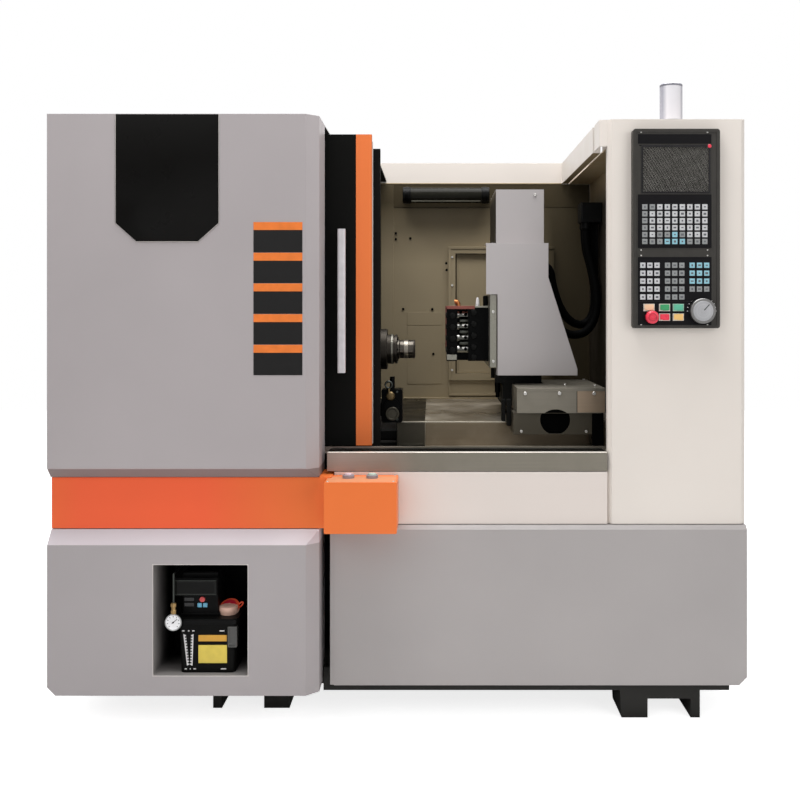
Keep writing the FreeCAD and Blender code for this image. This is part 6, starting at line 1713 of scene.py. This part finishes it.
@dataclass
class FrontAndBase(Assembly):
    """Cream column, sill, lower panels, plinth and feet."""

    body: str = "root"
    anchor_places: tuple[Span, ...] = ((-410.0, -415.0), (-370.0, -415.0), (679.0, -490.0), (719.0, -490.0),
                                       (-410.0, 540.0), (-370.0, 540.0), (679.0, 540.0), (719.0, 540.0))
    sill_x: Span = (-225.5, 613.5)

    def bolts(self) -> None:
        """Hexagon heads of the anchor bolts on the floor of each wide leg."""
        bolts = []
        for x, y in self.anchor_places:
            bolts.append(Bench.turned("anchor_bolt", [(0.0, 16.0), (2.5, 16.0), (3.0, 13.4), (12.0, 13.4),
                                                      (14.0, 12.0)], (x, y, 6.0), "Z", 6, closed=True))
        self.fit(Bench.gathered("anchor_bolts", bolts), Finish.ALUMINIUM)

    def sill(self) -> None:
        """Rolled front edge of the sill in a paler painted highlight, the ledge behind it darkened with painted
        shade, and the rubber strip.
        """
        # pale rolled edge: painted highlight
        self.fit(Bench.block("sill_edge", self.sill_x, (-600.4, -578.0), (804.6, 806.8), 1.0, 1),
                 Finish.SILL_EDGE_HIGHLIGHT)
        # dark ledge behind the edge: painted shade
        self.fit(Bench.block("sill_ledge", self.sill_x, (-577.5, -522.0), (804.6, 806.0), 0.4, 1),
                 Finish.DARK_STEEL_AND_PAINTED_SHADE)
        self.fit(Bench.block("sill_seal", (-224.0, 612.0), (-518.0, -512.6), (803.0, 808.5), 1.5),
                 Finish.RUBBER)

    def build(self) -> None:
        """Dress the front and the base and add their pieces."""
        Wardrobe.dress(right_column_cover=Finish.CREAM, cream_front_panel=Finish.CREAM_LOW,
                       lower_right_panel=Finish.GREY, front_sill=Finish.SILL_STEEL,
                       base_frame=Finish.FOOT_STEEL)
        self.bolts()
        self.sill()


@dataclass
class RearCabinet(Assembly):
    """Electrical cabinet with its leaf, locks and cable entry."""

    body: str = "root"
    rear: float = 710.0
    leaf_x: Span = (-700.0, 200.0)
    leaf_z: Span = (640.0, 1720.0)
    lock_levels: Span = (910.0, 1450.0)
    gland_count: int = 4
    gland_start: float = 560.0
    gland_pitch: float = 73.0
    louvre_count: int = 7
    louvre_pitch: float = 26.0
    louvre_levels: Span = (1622.5, 1626.0)

    def build(self) -> None:
        """Dress the cabinet and add its pieces."""
        Wardrobe.dress(rear_cabinet=Finish.CREAM, cabinet_door=Finish.CREAM)
        left, right = self.leaf_x
        low, high = self.leaf_z
        face = self.rear + 26.0
        panel = Bench.block("leaf_field", (left + 60, right - 90), (face - 1.0, face + 1.2),
                            (low + 60, high - 60), 1.0)
        Bench.sunk(panel, "Y", 1, 12.0, 0.8)
        self.fit(panel, Finish.GREY, "cabinet_leaf")
        for number, z in enumerate(self.lock_levels, start=1):
            self.fit(Bench.block(f"lock_bar_{number}", (157.5, 162.5), (face + 1.0, self.rear + 29.8),
                                 (z - 9, z + 9), 1.2), Finish.ALUMINIUM, "cabinet_leaf")
        self.fit(Bench.block("cable_entry", (520.0, 820.0), (self.rear - 0.5, self.rear + 3.0),
                             (300.0, 420.0), 1.2), Finish.GREY_LIT)
        glands = []
        for i in range(self.gland_count):
            glands.append(Bench.turned("entry_gland", [(0.0, 20.0), (8.0, 20.0), (9.0, 17.0), (20.0, 16.0),
                                                       (20.0, 11.0), (10.0, 10.0)],
                                       (self.gland_start + self.gland_pitch * i, self.rear + 3.0, 360.0), "Y", 24))
        self.fit(Bench.gathered("entry_glands", glands), Finish.BLACK_PLASTIC)
        foot, head = self.louvre_levels
        grille = [Bench.block("louvre_bar", (470.0, 758.0), (self.rear + 0.2, self.rear + 2.4),
                              (foot - self.louvre_pitch * i + 15, head - self.louvre_pitch * i + 15), 0.8)
                  for i in range(self.louvre_count)]
        self.fit(Bench.gathered("louvre_bars", grille), Finish.CREAM)


ASSEMBLIES = [Carriage, LeftBay, Lubricator, ControlStation, WorkArea, SpindleLine, SlidingDoor, FrontAndBase,
              RearCabinet]


# ------------------------------------------------------------------ the studio

@dataclass(frozen=True)
class Lamp:
    """Soft rectangular lamp: its middle, the point that it faces, width and height, and watts."""

    name: str
    place: Point
    aim: Point
    size: Span
    power: float


@dataclass
class Studio:
    """Pale floor, soft lamps and the camera, all outside the object."""

    camera_place: Point = (97.5, -3700.0, 1233.0)
    sensor: float = 36.0
    lens: float = 46.55
    shift: Span = (-0.04375, -0.1125)
    floor_half: float = 9000.0
    world_strength: float = 0.3
    floor_glow: float = 0.8
    lamps: tuple[Lamp, ...] = (
        Lamp("key", (-2600.0, -4200.0, 3600.0), (0.0, 0.0, 900.0), (3000.0, 2400.0), 36.0),
        Lamp("fill", (3200.0, -3800.0, 2200.0), (0.0, 0.0, 900.0), (2600.0, 2600.0), 42.0),
        Lamp("top", (100.0, -500.0, 4200.0), (0.0, -200.0, 0.0), (3200.0, 2600.0), 210.0))

    def world(self) -> None:
        """Plain white surroundings: white to the eye and in reflections, softer as light."""
        world = bpy.data.worlds.new("surroundings")
        bpy.context.scene.world = world
        world.use_nodes = True
        tree = world.node_tree
        tree.nodes.clear()
        path = tree.nodes.new("ShaderNodeLightPath")
        seen = path.outputs["Is Camera Ray"]
        for ray in ("Is Glossy Ray", "Is Transmission Ray"):
            larger = tree.nodes.new("ShaderNodeMath")
            larger.operation = "MAXIMUM"
            tree.links.new(seen, larger.inputs[0])
            tree.links.new(path.outputs[ray], larger.inputs[1])
            seen = larger.outputs[0]
        strength = tree.nodes.new("ShaderNodeMapRange")
        strength.inputs["To Min"].default_value = self.world_strength
        strength.inputs["To Max"].default_value = 1.0
        tree.links.new(seen, strength.inputs["Value"])
        sky = tree.nodes.new("ShaderNodeBackground")
        sky.inputs["Color"].default_value = (1.0, 1.0, 1.0, 1.0)
        tree.links.new(strength.outputs[0], sky.inputs["Strength"])
        output = tree.nodes.new("ShaderNodeOutputWorld")
        tree.links.new(sky.outputs[0], output.inputs["Surface"])

    def floor(self) -> None:
        """Pale floor that keeps the object's shadow and is white away from it."""
        Bench.clear()
        bpy.ops.mesh.primitive_plane_add(size=2 * self.floor_half * METRE)
        floor = bpy.context.object
        floor.name = "studio_floor"
        recipe = Recipe("studio_floor")
        recipe.set(Base_Color=(0.95, 0.95, 0.95, 1.0), Roughness=0.8, Specular_IOR_Level=0.0,
                   Emission_Color=(1.0, 1.0, 1.0, 1.0))
        path = recipe.node("ShaderNodeLightPath")
        recipe.join(recipe.maths("MULTIPLY", path.outputs["Is Camera Ray"], self.floor_glow),
                    recipe.shader.inputs["Emission Strength"])
        floor.data.materials.append(recipe.material)

    def light(self, lamp: Lamp) -> None:
        """Hang a lamp and turn it to the point that it faces.

        Args:
            lamp: its place, size and power.
        """
        area = bpy.data.lights.new(lamp.name, "AREA")
        area.shape = "RECTANGLE"
        area.size, area.size_y = (METRE * side for side in lamp.size)
        area.energy = lamp.power
        carrier = bpy.data.objects.new(lamp.name, area)
        bpy.context.scene.collection.objects.link(carrier)
        start = Vector(lamp.place) * METRE
        carrier.location = start
        carrier.rotation_euler = (Vector(lamp.aim) * METRE - start).to_track_quat("-Z", "Y").to_euler()

    def camera(self) -> None:
        """The camera, level, at the photograph's place."""
        view = bpy.data.cameras.new("camera")
        view.sensor_width = self.sensor
        view.lens = self.lens
        view.shift_x, view.shift_y = self.shift
        camera = bpy.data.objects.new("camera", view)
        bpy.context.scene.collection.objects.link(camera)
        camera.location = [c * METRE for c in self.camera_place]
        camera.rotation_euler = (math.pi / 2, 0.0, 0.0)
        bpy.context.scene.camera = camera

    def build(self) -> None:
        """Set the whole studio up."""
        self.camera()
        self.world()
        self.floor()
        for lamp in self.lamps:
            self.light(lamp)
        bpy.context.scene.view_settings.view_transform = "Standard"


def main() -> None:
    """Dress and detail the machine, part by part."""
    logging.basicConfig(level=logging.INFO, format="%(name)s %(message)s")
    Studio().build()
    for assembly in ASSEMBLIES:
        log.info("building %s", assembly.__name__)
        assembly().build()


if __name__ == "__main__":
    main()
